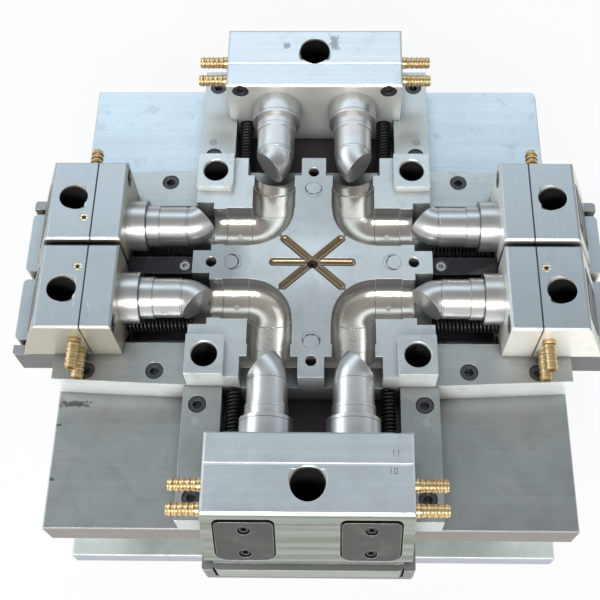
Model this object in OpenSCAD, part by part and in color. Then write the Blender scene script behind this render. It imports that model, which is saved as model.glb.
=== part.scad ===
// Moving half of a four-cavity mould for plastic pipe elbows, slides drawn back.
// Origin: centre of the bottom face. X right, Y to the back, Z up. Millimetres.

/* [Plates] */
// Width of the main plate and of the clamp plate
plate_w = 500; // [470:1:560]
// Depth of the main plate and of the clamp plate
plate_d = 504; // [480:1:560]
// Thickness of the main plate
plate_t = 40; // [34:1:60]
// Thickness of the clamp plate
clamp_t = 27; // [22:1:45]
// Height of the spacer blocks
spacer_h = 79; // [74:1:120]
// Width of each spacer block
spacer_w = 52; // [40:1:60]
// Distance that the spacer blocks stand back from the front and back faces
spacer_back = 34; // [20:1:60]
// Radius of the rear right corner of the main plate
corner_r = 8; // [2:1:15]
// Chamfer along the plates' edges
plate_c = 1; // [0.5:0.1:2]

/* [Cavity block] */
// Height of the parting plane above the main plate
part_h = 58; // [54:1:75]
// Depth of the pocket in the main plate that locates the cavity block
block_sink = 10; // [6:1:15]
// Distance of each elbow leg's axis from the mould's centre lines
leg = 40.2; // [38:0.1:48]
// Outer radius of the moulded elbow in its bend
bend_cav_r = 21.2; // [19:0.1:23]
// Outer radius of the moulded elbow at its sockets
socket_cav_r = 21.8; // [20:0.1:24]
// Radius of the seat that closes round each core
seat_r = 20.7; // [18.6:0.1:23]
// Width of the land left between two sockets at the inner corner of an elbow
inner_land = 0.4; // [0.3:0.1:2]
// Length of each socket
socket_l = 25.9; // [22:0.1:32]
// Length of the core seat
seat_l = 12.7; // [10:0.1:18]
// Length of the collar recess in the left and right sides
recess_side_l = 17.5; // [14:0.1:24]
// Length of the collar recess in the front and back sides
recess_end_l = 21.3; // [14:0.1:26]
// Half width of the four tabs between the collar recesses
tab_half = 12.5; // [10:0.1:14]
// Rise of the four guide bosses above the parting plane
boss_h = 8.5; // [6:0.5:14]
// Inner side of the guide bosses, from the centre lines
boss_in = 82; // [80:0.5:84]
// Radius of the guide bores
guide_r = 12.5; // [10:0.1:14]
// Radius of the runner grooves
runner_r = 4.5; // [3:0.1:5]
// Reach of the six runner arms
runner_l = 43; // [36:0.5:44]
// Angle between the side arms and the slanted arms
runner_a = 43; // [40:1:48]
// Radius of the well above the sprue puller
well_r = 5.5; // [4.5:0.1:7]
// Flare of the well's mouth
well_flare = 1.6; // [1:0.1:3]
// Radius of the tapped lifting holes in the tabs
lift_hole_r = 5.1; // [4:0.1:6]
// Depth of the tapped lifting holes
lift_hole_l = 26; // [18:1:40]
// Distance of the side lifting holes from the centre
lift_x = 100.3; // [97:0.1:104]
// Distance of the front and back lifting holes from the centre
lift_y = 105.3; // [100:0.1:108]

/* [Cores] */
// Wall of the moulded elbow at its sockets
socket_wall = 2.5; // [2:0.1:4]
// Wall of the moulded elbow in its bend
bend_wall = 2.6; // [2:0.1:4]
// Radius of the collar of each core
collar_r = 25; // [23.5:0.1:26]
// Radius of the shank that holds each core in its holder
shank_r = 14; // [10:0.5:18]
// Length of the shank
shank_l = 20; // [12:0.5:26]

/* [Slides] */
// Travel of every slide
stroke = 63.5; // [50:0.5:66]
// Gap between a closed holder and the cavity block
face_gap = 1.5; // [0.8:0.1:3]
// Thickness of the core holders
holder_t = 29; // [26:0.5:34]
// Thickness of a side slide with its holder, along its top face
side_slide_t = 72; // [68:0.5:80]
// Thickness of the front and back slides with their holders, along the top face
end_slide_t = 73; // [68:0.5:80]
// Height of the four side slides above the main plate
side_top = 98; // [92:0.5:110]
// Height of the front and back slides above the main plate
end_top = 94.5; // [90:0.5:110]
// Outer side of the side slides, from the centre line
side_out = 90.5; // [86:0.5:92]
// Half of the gap between two side slides
pair_gap = 2.8; // [1:0.1:5]
// Half width of the front and back slides
end_out = 92; // [90:0.5:98]
// Angle of the locking face on the side slides
side_heel_a = 21; // [15:0.5:25]
// Angle of the locking face on the front and back slides
end_heel_a = 24.5; // [18:0.5:26]
// Length of the foot of a side slide
side_foot_l = 110.5; // [106:0.5:116]
// Length of the foot of the front and back slides
end_foot_l = 106.7; // [104:0.1:114]
// Height of the foot
foot_h = 27; // [20:0.5:28]
// Corner radius at the tail of the foot
foot_r = 5; // [2:0.5:8]
// How far the tail of a side slide stands in from its channel
tail_in = 6; // [3:0.5:10]
// Width of the flange under each gib
flange_w = 7.2; // [5:0.1:9]
// Height of the flange
flange_h = 12; // [8:0.5:14]
// Radius of the angle pin holes in the side slides
side_pin_r = 13.3; // [10:0.1:15]
// Radius of the angle pin holes in the front and back slides
end_pin_r = 15.7; // [12:0.1:17]
// Angle of the angle pin holes
pin_a = 18; // [12:0.5:20]
// Distance of the angle pin hole from the slide's front face, at the top
pin_back = 49.5; // [48:0.5:52]
// Distance of the side slides' pin holes from the centre line
side_pin_off = 50; // [45:0.5:55]
// Chamfer along the slides' edges
slide_c = 2; // [0.4:0.1:2.5]
// Chamfer at the seam between a side slide and its holder
side_seam_c = 0.4; // [0.2:0.1:1]
// Chamfer at the seam between the front or back slide and its holder
end_seam_c = 0.9; // [0.4:0.1:1.5]

/* [Gibs and rails] */
// Height of the side and end gibs
gib_h = 35; // [32:0.5:40]
// Half width of the channel between the side gibs
side_ch = 77.5; // [75:0.5:79]
// Half width of the front and back channels
end_ch = 85; // [83:0.5:87]
// Outer side of the side gibs at the plate's edge
side_gib_out = 116; // [112:0.5:119]
// Outer side of the side gibs at the cavity block
side_gib_in = 121.8; // [119:0.5:122]
// Outer side of the front and back gibs
end_gib_out = 122; // [118:0.5:124]
// Half width of the cap of the centre rails
rail_half = 9.3; // [8:0.1:11]
// Half width of the stem of the centre rails
stem_half = 4.5; // [4:0.1:5]
// Height of the centre rails
rail_h = 50; // [44:0.5:54]
// Thickness of the cheeks of the slide supports
cheek_t = 10.2; // [8:0.1:14]
// Thickness of the shelf of the slide supports
shelf_t = 8; // [6:0.5:12]
// Height of the mounting flange below the shelf
support_drop = 22; // [18:0.5:26]

/* [Springs and small parts] */
// Outer radius of the slide springs
spring_r = 7.5; // [6:0.1:8]
// Radius of the spring wire
wire_r = 1.25; // [0.8:0.05:1.6]
// Number of turns of a slide spring
spring_turns = 13; // [9:1:16]
// Height of the spring axis above the main plate
spring_z = 26; // [20:0.5:27]
// Half of the distance between the two springs of a side slide
spring_half = 13.5; // [11:0.5:16]
// Distance of the front and back slides' springs from the centre line
end_spring_x = 74; // [70:0.5:75]
// Depth of the spring pocket behind the holder's face
pocket_l = 37; // [34:0.5:42]
// Width of a wear plate
wear_w = 51; // [40:0.5:54]
// Length of a wear plate along the locking face
wear_l = 52.5; // [45:0.5:53]
// Thickness of a wear plate
wear_t = 6; // [4:0.5:8]
// Distance of a wear plate from the upper edge of its locking face
wear_top = 11; // [10:0.5:12]
// Outer radius of the hose nipples
nipple_r = 6.2; // [5:0.1:7]
// Length of a hose nipple outside its slide
nipple_l = 30; // [22:0.5:36]
// Number of barbs on a hose nipple
nipple_barbs = 5; // [3:1:6]
// Radius of the brass plugs in the tops of three side slides
plug_r = 4.3; // [3:0.1:6]

/* [Ejector] */
// Travel of the ejector plates
eject = 30; // [20:1:33]
// Thickness of the ejector plate
eject_t = 20; // [15:1:24]
// Thickness of the retainer plate
retain_t = 15; // [12:1:18]
// Height of the stop feet under the ejector plate
stop_h = 5; // [3:0.5:8]
// Radius of the return pins
return_r = 9; // [7:0.1:10]
// Distance of the side return pins from the centre
return_x = 78.6; // [75:0.1:84]
// Distance of the front and back return pins from the centre
return_y = 83.7; // [78:0.1:86]
// Radius of the ejector pins
pin_r = 2.5; // [1.5:0.1:3]
// Distance of the ejector pins from the centre, along their leg
pin_at = 75; // [66:0.5:84]
// Radius of the support pillars
pillar_r = 20; // [14:0.5:25]
// Distance of the support pillars from the centre lines
pillar_at = 135; // [125:1:145]
// Radius of the hole for the press's ejector rod
rod_r = 20; // [12:0.5:25]

/* [Fits] */
// Gap under a slide and above its foot
lift = 0.3; // [0.2:0.05:0.5]
// Gap at each side of a slide in its channel
side_fit = 0.35; // [0.2:0.05:0.6]
// Gap between a closed core and its seat
seat_fit = 0.3; // [0.2:0.05:0.5]
// Gap between the mitred ends of two closed cores
mitre_gap = 0.4; // [0.2:0.05:0.8]
// Gap round pins, shanks and screws in their holes
hole_fit = 0.1; // [0.05:0.05:0.2]
// Gap round the cavity block in its pocket
block_fit = 0.05; // [0.02:0.01:0.1]

/* [Hidden] */
$fn = 64;
far = 1000;
top_z = clamp_t + spacer_h + plate_t;
bend_r = socket_cav_r + inner_land;
bend_c = leg + bend_r;
socket_end = bend_c + socket_l;
seat_end = socket_end + seat_l;
block_x = seat_end + recess_side_l;
block_y = seat_end + recess_end_l;
corner_in = 2 * leg - tab_half;
recess_floor = part_h - collar_r - 3;
ball_over = 0.1;
well_flare_h = 4;
side_boss_mid = (boss_in + block_x) / 2;
end_boss_mid = (boss_in + block_y) / 2;
collar_gap = 0.5;
side_face = block_x + face_gap + stroke;
end_face = block_y + face_gap + stroke;
side_heel = side_face + side_slide_t;
end_heel = end_face + end_slide_t;
side_tail = side_face + side_foot_l;
end_tail = end_face + end_foot_l;
body_low = gib_h + lift;
gib_gap = 0.4;
support_side_out = side_ch + cheek_t;
support_end_out = end_ch + cheek_t;
groove_w = flange_w + side_fit + 0.2;
groove_h = flange_h + 2 * lift;
flange_end = 0.5;
pocket_r = spring_r + 0.7;

// Cap screws: radius, head radius, head height
m10 = [5, 8, 10];
m8 = [4, 6.5, 8];
m6 = [3, 5, 6];
m12 = [6, 9, 12];
head_room = 1;

// Screw places
side_gib_screws = [block_x + 33, block_x + 99];
side_gib_screw_y = 107;
end_gib_screws = [block_y + 18.7, block_y + 108.7];
end_gib_screw_x = 107.7;
dowel_r = 4;
dowel_l = gib_h + 12;
end_gib_dowel = [end_gib_screw_x + 1.5, block_y + 36];
rail_screws = [block_x + 9, block_x + 100];
gib_bite = 16;
bolt_y = [-1, 0, 1] * (plate_d / 2 - spacer_back - 40);
bolt_x = plate_w / 2 - spacer_w / 2;
bolt_bite = 20;
block_bolt = 62;
holder_bite = 16;
wear_bite = 12;
wear_seat = 3.4;

// Places on a holder's front face: [x, z]
side_holder_screws = [[side_out - 11, side_top - 13], [side_ch - 9, 14], [rail_half + 8.5, 12.6]];
end_holder_screws = [
    [-end_out + 14.5, end_top - 10], [end_out - 14.5, end_top - 10], [-leg, 16], [leg, 16]
];

// Springs, wear plates, nipples and plugs
side_spring_spots = [leg - spring_half, leg + spring_half];
end_spring_spots = [-end_spring_x, end_spring_x];
coil_steps = 8;
wire_sides = 5;
side_wear_x = (pair_gap + side_out) / 2;
end_wear_x = 55;
wear_screw_y = [-22, -54];
side_wear_screw_x = 18;
wear_gap = 1.5;
wear_gap_top = 3.5;
wear_gap_low = 0.8;
side_nipple_y = side_face + 38.5;
side_nipple_z = [part_h + 14, part_h - 11];
back_nipple_y = [end_face + 14.5, end_face + 38];
front_nipple_y = [end_face + 45, end_face + 66.5];
end_nipple_z = end_top - 10.5;
plug_at = [26.8, side_face + 37];
plug_l = 14;
pin_flare = 3;
pin_relief = 5;
pin_relief_h = 10;
nipple_in = 5;
nipple_stop = 0.6;

// Ejector levels
eject_z = clamp_t + stop_h;
retain_z = eject_z + eject_t;
pins_z = retain_z;
plates_w = plate_w - 2 * spacer_w - 8;
plates_d = plate_d - 2 * spacer_back - 40;
return_head = [3, 6];
pin_head = [2, 5];
pin_spots = [[leg, pin_at], [pin_at, leg]];
foot_spots = [[150, 60], [60, 150]];
plate_screw_spots = [[120, 20], [20, 150]];

STEEL = [0.62, 0.65, 0.68];
LIGHT = [0.74, 0.77, 0.80];
POLISH = [0.80, 0.80, 0.78];
DARK = [0.20, 0.20, 0.21];
WEAR = [0.40, 0.40, 0.38];
BRASS = [0.80, 0.63, 0.32];

// Placing

// Raises its children to the top face of the main plate
module on_plate() {
    translate([0, 0, top_z]) children();
}

module flip_x(on) {
    if (on) mirror([1, 0, 0]) children();
    else children();
}

module flip_y(on) {
    if (on) mirror([0, 1, 0]) children();
    else children();
}

// A piece of the slide that runs along +Y is laid along +X, and mirrored into its quadrant
module side_place(left, front) {
    flip_x(left) flip_y(front) mirror([1, -1, 0]) on_plate() children();
}

// The same for the back slide, and mirrored for the front slide
module end_place(front) {
    flip_y(front) on_plate() children();
}

// One copy in each quadrant
module quarters() {
    for (l = [false, true])
        for (f = [false, true])
            flip_x(l) flip_y(f) children();
}

// Shapes

// Outline in X and Z, drawn out along Y from y0 to y1
module along_y(y0, y1) {
    translate([0, y1, 0]) rotate([90, 0, 0]) linear_extrude(y1 - y0) children();
}

// Outline in Y and Z, drawn out along X from x0 to x1
module along_x(x0, x1) {
    translate([x0, 0, 0]) rotate([90, 0, 90]) linear_extrude(x1 - x0) children();
}

// Cylinder along +Y from y0 to y1
module rod_y(r, y0, y1) {
    translate([0, y0, 0]) rotate([-90, 0, 0]) cylinder(r = r, h = y1 - y0);
}

// Rectangle with its corners cut by c
module cut_rect(w, h, c) {
    polygon([
        [-w / 2 + c, 0], [w / 2 - c, 0], [w / 2, c], [w / 2, h - c],
        [w / 2 - c, h], [-w / 2 + c, h], [-w / 2, h - c], [-w / 2, c]
    ]);
}

// Plate with a chamfer along all its edges
module bevel_plate(w, d, h, c) {
    intersection() {
        along_y(-d / 2, d / 2) cut_rect(w, h, c);
        along_x(-w / 2, w / 2) cut_rect(d, h, c);
    }
}

// Rectangle with round corners, exact at any size
module round_rect(x0, x1, y0, y1, r) {
    translate([x0 + r, y0]) square([x1 - x0 - 2 * r, y1 - y0]);
    translate([x0, y0 + r]) square([x1 - x0, y1 - y0 - 2 * r]);
    for (x = [x0 + r, x1 - r])
        for (y = [y0 + r, y1 - r])
            translate([x, y]) circle(r);
}

// Socket head cap screw, with its seat at the origin and its shank downwards
module cap_screw(m, l) {
    difference() {
        union() {
            cylinder(r = m[1], h = m[2]);
            translate([0, 0, -l]) cylinder(r = m[0], h = l + 1);
        }
        translate([0, 0, m[2] / 2]) cylinder(r = m[0] * 0.95, h = m[2], $fn = 6);
    }
}

// Hole for a cap screw: the head's counterbore opens upwards
module screw_hole(m, l) {
    cylinder(r = m[1] + 0.75, h = far);
    translate([0, 0, -l - 0.5]) cylinder(r = m[0] + hole_fit, h = l + 1);
}

// Frame

module clamp_plate() {
    color(STEEL)
    difference() {
        bevel_plate(plate_w, plate_d, clamp_t, plate_c);
        translate([0, 0, -1]) cylinder(r = rod_r, h = clamp_t + 2);
        for (x = [-bolt_x, bolt_x])
            for (y = bolt_y)
                translate([x, y, m12[2] + head_room]) mirror([0, 0, 1]) screw_hole(m12, clamp_t);
    }
}

module spacer_blocks() {
    color(STEEL)
    for (s = [-1, 1])
        translate([s * bolt_x, 0, clamp_t])
            difference() {
                bevel_plate(spacer_w, plate_d - 2 * spacer_back, spacer_h, plate_c);
                for (y = bolt_y)
                    translate([0, y, -1]) cylinder(r = m12[0] + hole_fit, h = spacer_h + 2);
            }
}

// The main plate has one rounded corner, so that it goes together only one way
module main_plate() {
    color(LIGHT)
    translate([0, 0, clamp_t + spacer_h])
        difference() {
            bevel_plate(plate_w, plate_d, plate_t, plate_c);
            translate([plate_w / 2, plate_d / 2, 0]) corner_cut();
            translate([0, 0, plate_t - block_sink]) linear_extrude(plate_t) block_outline(block_fit);
            plate_holes();
        }
}

module corner_cut() {
    difference() {
        translate([-corner_r, -corner_r, -1]) cube([corner_r + 1, corner_r + 1, plate_t + 2]);
        translate([-corner_r, -corner_r, -2]) cylinder(r = corner_r, h = plate_t + 4);
    }
}

module plate_holes() {
    // pins of the ejector
    for (p = return_spots())
        translate([p[0], p[1], -1]) cylinder(r = return_r + 2 * hole_fit, h = plate_t + 2);
    translate([0, 0, -1]) cylinder(r = well_r + hole_fit, h = plate_t + 2);
    quarters()
        for (p = pin_spots)
            translate([p[0], p[1], -1]) cylinder(r = pin_r + 3 * hole_fit, h = plate_t + 2);
    // guide bores run on through the plate
    quarters()
        translate([side_boss_mid, end_boss_mid, -1]) cylinder(r = guide_r + 0.5, h = plate_t + 2);
    // screws from above
    translate([0, 0, plate_t - gib_bite - 1]) {
        quarters() {
            for (x = side_gib_screws)
                translate([x, side_gib_screw_y, 0]) cylinder(r = m10[0] + hole_fit, h = plate_t);
            for (y = end_gib_screws)
                translate([end_gib_screw_x, y, 0]) cylinder(r = m10[0] + hole_fit, h = plate_t);
            translate([end_gib_dowel[0], end_gib_dowel[1], 0]) cylinder(r = dowel_r + hole_fit, h = plate_t);
        }
        for (s = [-1, 1])
            for (x = rail_screws)
                translate([s * x, 0, 0]) cylinder(r = m6[0] + hole_fit, h = plate_t);
    }
    // bolts from below
    for (x = [-bolt_x, bolt_x])
        for (y = bolt_y)
            translate([x, y, -1]) cylinder(r = m12[0] + hole_fit, h = bolt_bite + 2);
    quarters()
        translate([block_bolt, block_bolt, m12[2] + head_room]) mirror([0, 0, 1]) screw_hole(m12, plate_t);
    // screws of the slide supports
    for (q = support_screw_spots())
        place_support_screw(q) translate([0, 0, -gib_bite - 1]) cylinder(r = m8[0] + hole_fit, h = far);
}

// Outline of the cavity block, grown by g
module block_outline(g) {
    translate([-block_x - g, -block_y - g]) square([2 * (block_x + g), 2 * (block_y + g)]);
}

function return_spots() = [[return_x, 0], [-return_x, 0], [0, return_y], [0, -return_y]];

module support_pillars() {
    color(STEEL)
    quarters()
        translate([pillar_at, pillar_at, clamp_t]) cylinder(r = pillar_r, h = spacer_h);
}

module plate_bolts() {
    color(DARK)
    {
        for (x = [-bolt_x, bolt_x])
            for (y = bolt_y)
                translate([x, y, m12[2] + head_room]) mirror([0, 0, 1])
                    cap_screw(m12, clamp_t - m12[2] - head_room + spacer_h + bolt_bite);
        quarters()
            translate([block_bolt, block_bolt, clamp_t + spacer_h + m12[2] + head_room]) mirror([0, 0, 1])
                cap_screw(m12, plate_t - m12[2] - head_room - block_sink + bolt_bite);
    }
}

// Cavity block

// One leg of an elbow cavity along +Y, with its core seat and collar recess
module leg_cut(recess_l) {
    translate([leg, 0, part_h]) {
        rod_y(socket_cav_r, bend_c, socket_end);
        rod_y(seat_r, socket_end - 1, seat_end + 1);
    }
    translate([tab_half, seat_end, recess_floor])
        cube([corner_in - tab_half, recess_l + 1, far]);
}

// A quarter turn of the elbow between its two legs
module bend_solid(r, a) {
    translate([bend_c, bend_c, part_h]) rotate([0, 0, 180])
        rotate_extrude(angle = a) translate([bend_r, 0]) circle(r);
}

module elbow_cut() {
    bend_solid(bend_cav_r, 90);
    leg_cut(recess_end_l);
    mirror([1, -1, 0]) leg_cut(recess_side_l);
}

// Half round runner arm with a ball end, and its gate where it feeds a cavity
module runner_arm(a, gate) {
    rotate([0, 0, a]) translate([0, 0, part_h]) {
        rotate([0, 90, 0]) cylinder(r = runner_r, h = runner_l - runner_r);
        // the ball at the end is a little wider than the groove, and its poles are turned out of the way
        translate([runner_l - runner_r - ball_over, 0, 0]) rotate([0, 30, 0]) sphere(runner_r + ball_over);
        if (gate) translate([runner_l - 1, -1.5, -0.8]) cube([6, 3, 2]);
    }
}

module cavity_block() {
    color(LIGHT)
    on_plate()
        difference() {
            union() {
                translate([0, 0, -block_sink]) linear_extrude(part_h + block_sink) block_outline(0);
                quarters() guide_boss();
            }
            quarters() {
                elbow_cut();
                translate([side_boss_mid, end_boss_mid, -far / 2]) cylinder(r = guide_r, h = far);
                translate([side_boss_mid, end_boss_mid, part_h + boss_h - 1])
                    cylinder(r1 = guide_r, r2 = guide_r + 1.2, h = 1.2);
                for (p = pin_spots)
                    translate([p[0], p[1], -far / 2]) cylinder(r = pin_r + hole_fit, h = far / 2 + part_h - 5);
                runner_arm(runner_a, true);
                translate([block_bolt, block_bolt, -block_sink - 1])
                    cylinder(r = m12[0] + hole_fit, h = bolt_bite + 2);
            }
            runner_arm(0, false);
            runner_arm(180, false);
            translate([0, 0, -far / 2]) cylinder(r = well_r, h = far);
            translate([0, 0, part_h - well_flare_h])
                cylinder(r1 = well_r, r2 = well_r + 2 * well_flare, h = 2 * well_flare_h);
            for (p = return_spots())
                translate([p[0], p[1], -far / 2]) cylinder(r = return_r + hole_fit, h = far);
            for (p = lift_spots())
                translate([p[0], p[1], part_h]) lift_hole();
        }
}

function lift_spots() = [[lift_x, 0], [-lift_x, 0], [0, lift_y], [0, -lift_y]];

module lift_hole() {
    translate([0, 0, -lift_hole_l]) cylinder(r = lift_hole_r, h = lift_hole_l + 1);
    translate([0, 0, -0.8]) cylinder(r1 = lift_hole_r, r2 = lift_hole_r + 1, h = 1);
}

// Square boss with a rounded inner corner, for one guide bore
module guide_boss() {
    boss_r = 4;
    translate([0, 0, part_h - 1]) linear_extrude(boss_h + 1) {
        round_rect(boss_in, block_x, boss_in, block_y, boss_r);
        translate([boss_in + boss_r, boss_in]) square([block_x - boss_in - boss_r, block_y - boss_in]);
        translate([boss_in, boss_in + boss_r]) square([block_x - boss_in, block_y - boss_in - boss_r]);
    }
}

// Gibs and rails

// Gib beside the right rear slide: its lip covers the flange of the slide's foot
module side_gib() {
    x0 = block_x + gib_gap;
    x1 = plate_w / 2;
    on_plate()
        difference() {
            linear_extrude(gib_h)
                polygon([[x0, side_ch], [x1, side_ch], [x1, side_gib_out], [x0, side_gib_in]]);
            translate([x0 - 1, side_ch - 1, -1]) cube([x1 - x0 + 2, groove_w + 1, groove_h + 1]);
            for (x = side_gib_screws)
                translate([x, side_gib_screw_y, gib_h - m10[2] - head_room]) screw_hole(m10, gib_h);
        }
}

// Gib beside the back slide, on its right
module end_gib() {
    y0 = block_y + gib_gap;
    y1 = plate_d / 2;
    on_plate()
        difference() {
            translate([end_ch, y0, 0]) cube([end_gib_out - end_ch, y1 - y0, gib_h]);
            translate([end_ch - 1, y0 - 1, -1]) cube([groove_w + 1, y1 - y0 + 2, groove_h + 1]);
            for (y = end_gib_screws)
                translate([end_gib_screw_x, y, gib_h - m10[2] - head_room]) screw_hole(m10, gib_h);
            translate([end_gib_dowel[0], end_gib_dowel[1], -1]) cylinder(r = dowel_r + hole_fit, h = far);
        }
}

module side_gibs(left) {
    color(STEEL)
    flip_x(left)
        for (f = [false, true])
            flip_y(f) side_gib();
}

module end_gibs(front) {
    color(STEEL)
    flip_y(front)
        for (l = [false, true])
            flip_x(l) end_gib();
}

module side_gibs_left() { side_gibs(true); }
module side_gibs_right() { side_gibs(false); }
module end_gibs_front() { end_gibs(true); }
module end_gibs_back() { end_gibs(false); }

// T-shaped rail between each pair of side slides
module centre_rails() {
    x0 = block_x + gib_gap;
    x1 = plate_w / 2;
    z1 = foot_h + lift;
    color(STEEL)
    for (l = [false, true])
        flip_x(l) on_plate()
            difference() {
                along_x(x0, x1)
                    polygon([
                        [-stem_half, 0], [stem_half, 0], [stem_half, z1], [rail_half, z1],
                        [rail_half, rail_h], [-rail_half, rail_h], [-rail_half, z1], [-stem_half, z1]
                    ]);
                for (x = rail_screws)
                    translate([x, 0, rail_h - m6[2] - head_room]) screw_hole(m6, rail_h);
            }
}

// Slide supports

// Shelf with two cheeks that carries the foot of an open slide past the plate's edge
module support(half, cheek_in, y0, y1) {
    difference() {
        union() {
            translate([-half, y0, -shelf_t]) cube([2 * half, y1 - y0, shelf_t]);
            translate([-half, y0, -shelf_t - support_drop]) cube([2 * half, cheek_t, support_drop + 1]);
            for (s = [-1, 1])
                translate([s > 0 ? cheek_in : -half, y0, -1]) cube([half - cheek_in, y1 - y0, foot_h + 1]);
        }
        // one outer corner of each cheek is eased
        for (s = [-1, 1])
            translate([s * half, y1, -shelf_t]) rotate([0, 0, 45]) cube([3, 3, far], center = true);
    }
}

module side_support() {
    mirror([1, -1, 0]) support(support_side_out, side_ch, plate_w / 2, side_tail);
}

module end_support() {
    support(support_end_out, end_ch, plate_d / 2, end_tail);
}

module slide_supports() {
    color(STEEL)
    difference() {
        on_plate() {
            side_support();
            mirror([1, 0, 0]) side_support();
            end_support();
            mirror([0, 1, 0]) end_support();
        }
        translate([0, 0, clamp_t + spacer_h])
            for (q = support_screw_spots())
                place_support_screw(q) {
                    translate([0, 0, -far / 2]) cylinder(r = m8[0] + hole_fit, h = far);
                    translate([0, 0, cheek_t]) cylinder(r = m8[1] + 1, h = far);
                }
    }
}

// Screws of the supports: [side or end, mirrored, offset along the edge]
function support_screw_spots() = [
    for (k = [0, 1])
        for (m = [false, true])
            for (o = [-60, 0, 60])
                [k, m, o]
];

// Puts a screw's seat on the plate's side face, with its axis outwards
module place_support_screw(q) {
    z = plate_t - shelf_t - support_drop / 2;
    if (q[0] == 0)
        flip_x(q[1]) translate([plate_w / 2, q[2], z]) rotate([0, 90, 0]) children();
    else
        flip_y(q[1]) translate([q[2], plate_d / 2, z]) rotate([-90, 0, 0]) children();
}

// Screws and dowels that hold the gibs, the rails and the supports
module gib_fasteners() {
    color(DARK) {
        on_plate() {
            quarters() {
                for (x = side_gib_screws)
                    translate([x, side_gib_screw_y, gib_h - m10[2] - head_room])
                        cap_screw(m10, gib_h - m10[2] - head_room + gib_bite);
                for (y = end_gib_screws)
                    translate([end_gib_screw_x, y, gib_h - m10[2] - head_room])
                        cap_screw(m10, gib_h - m10[2] - head_room + gib_bite);
            }
            for (l = [false, true])
                flip_x(l)
                    for (x = rail_screws)
                        translate([x, 0, rail_h - m6[2] - head_room])
                            cap_screw(m6, rail_h - m6[2] - head_room + gib_bite);
        }
        translate([0, 0, clamp_t + spacer_h])
            for (q = support_screw_spots())
                place_support_screw(q) translate([0, 0, cheek_t]) cap_screw(m8, cheek_t + gib_bite);
    }
    color(LIGHT)
    on_plate()
        quarters()
            translate([end_gib_dowel[0], end_gib_dowel[1], -dowel_l + gib_h]) cylinder(r = dowel_r, h = dowel_l);
}

// Ejector

module ejector_plates(z, t, feet) {
    difference() {
        union() {
            translate([0, 0, z]) bevel_plate(plates_w, plates_d, t, plate_c);
            if (feet)
                quarters()
                    for (p = foot_spots)
                        translate([p[0], p[1], z - stop_h + 0.3]) cylinder(r = 12, h = stop_h + 1);
        }
        quarters()
            translate([pillar_at, pillar_at, 0]) cylinder(r = pillar_r + 3, h = far);
        plate_screws() mirror([0, 0, 1]) screw_hole(m8, eject_t + retain_t / 2);
    }
}

// Places its children at the screws that join the two ejector plates, seats facing up
module plate_screws() {
    quarters()
        for (p = plate_screw_spots)
            translate([p[0], p[1], eject_z + m8[2] + head_room]) children();
}

module ejector_screws() {
    color(DARK)
    plate_screws() mirror([0, 0, 1]) cap_screw(m8, eject_t - m8[2] - head_room + retain_t - 3);
}

module ejector_plate() {
    color(STEEL) ejector_plates(eject_z, eject_t, true);
}

module retainer_plate() {
    color(STEEL)
    difference() {
        ejector_plates(retain_z, retain_t, false);
        for (p = return_spots())
            translate([p[0], p[1], retain_z]) head_hole(return_r, return_head);
        translate([0, 0, retain_z]) head_hole(well_r - 0.3, pin_head);
        quarters()
            for (p = pin_spots)
                translate([p[0], p[1], retain_z]) head_hole(pin_r, pin_head);
    }
}

// Hole for a headed pin: the head seats against the ejector plate
module head_hole(r, head) {
    translate([0, 0, -1]) cylinder(r = r + head[0] + hole_fit, h = head[1] + 1 + hole_fit);
    cylinder(r = r + hole_fit, h = far);
}

module headed_pin(r, head, l) {
    cylinder(r = r + head[0], h = head[1]);
    cylinder(r = r, h = l);
}

module return_pins() {
    color(LIGHT)
    for (p = return_spots())
        translate([p[0], p[1], pins_z]) headed_pin(return_r, return_head, top_z + part_h - pins_z - 0.05);
}

// Eight pins under the elbows, and the puller under the sprue
module ejector_pins() {
    color(LIGHT) {
        quarters()
            for (p = pin_spots)
                translate([p[0], p[1], pins_z])
                    headed_pin(pin_r, pin_head, top_z + part_h - socket_cav_r - pins_z);
        sprue_puller();
    }
}

module sprue_puller() {
    h = top_z + part_h - runner_r - 4 - pins_z;
    difference() {
        translate([0, 0, pins_z]) headed_pin(well_r - 0.3, pin_head, h);
        translate([0, 0, pins_z + h - 3]) cylinder(r1 = 2.4, r2 = 3.2, h = 4);
    }
}

// Slides

// Section of a side slide: it bridges the centre rail and hangs over the gib
module side_section() {
    polygon([
        [stem_half + side_fit, lift], [side_ch - side_fit, lift],
        [side_ch - side_fit, body_low], [side_out, body_low],
        [side_out, side_top - slide_c], [side_out - slide_c, side_top],
        [pair_gap + slide_c, side_top], [pair_gap, side_top - slide_c],
        [pair_gap, rail_h + lift], [rail_half + side_fit, rail_h + lift],
        [rail_half + side_fit, foot_h], [stem_half + side_fit, foot_h]
    ]);
}

module end_section() {
    polygon([
        [-end_ch + side_fit, lift], [end_ch - side_fit, lift],
        [end_ch - side_fit, body_low], [end_out, body_low],
        [end_out, end_top - slide_c], [end_out - slide_c, end_top],
        [-end_out + slide_c, end_top], [-end_out, end_top - slide_c],
        [-end_out, body_low], [-end_ch + side_fit, body_low]
    ]);
}

// Side view of a slide behind its holder, with the sloped locking face
module heel_profile(y0, y_top, h, a, seam_c) {
    y_low = y_top + (h - body_low) * tan(a);
    polygon([
        [y0, 0], [y_low, 0], [y_low, body_low], [y_top + slide_c * tan(a), h - slide_c],
        [y_top - slide_c, h], [y0 + seam_c, h], [y0, h - seam_c]
    ]);
}

// Side view of a holder, with its upper edges broken
module holder_profile(y0, h, seam_c) {
    y1 = y0 + holder_t;
    polygon([
        [y0, 0], [y1, 0], [y1, h - seam_c], [y1 - seam_c, h], [y0 + slide_c, h], [y0, h - slide_c]
    ]);
}

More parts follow.
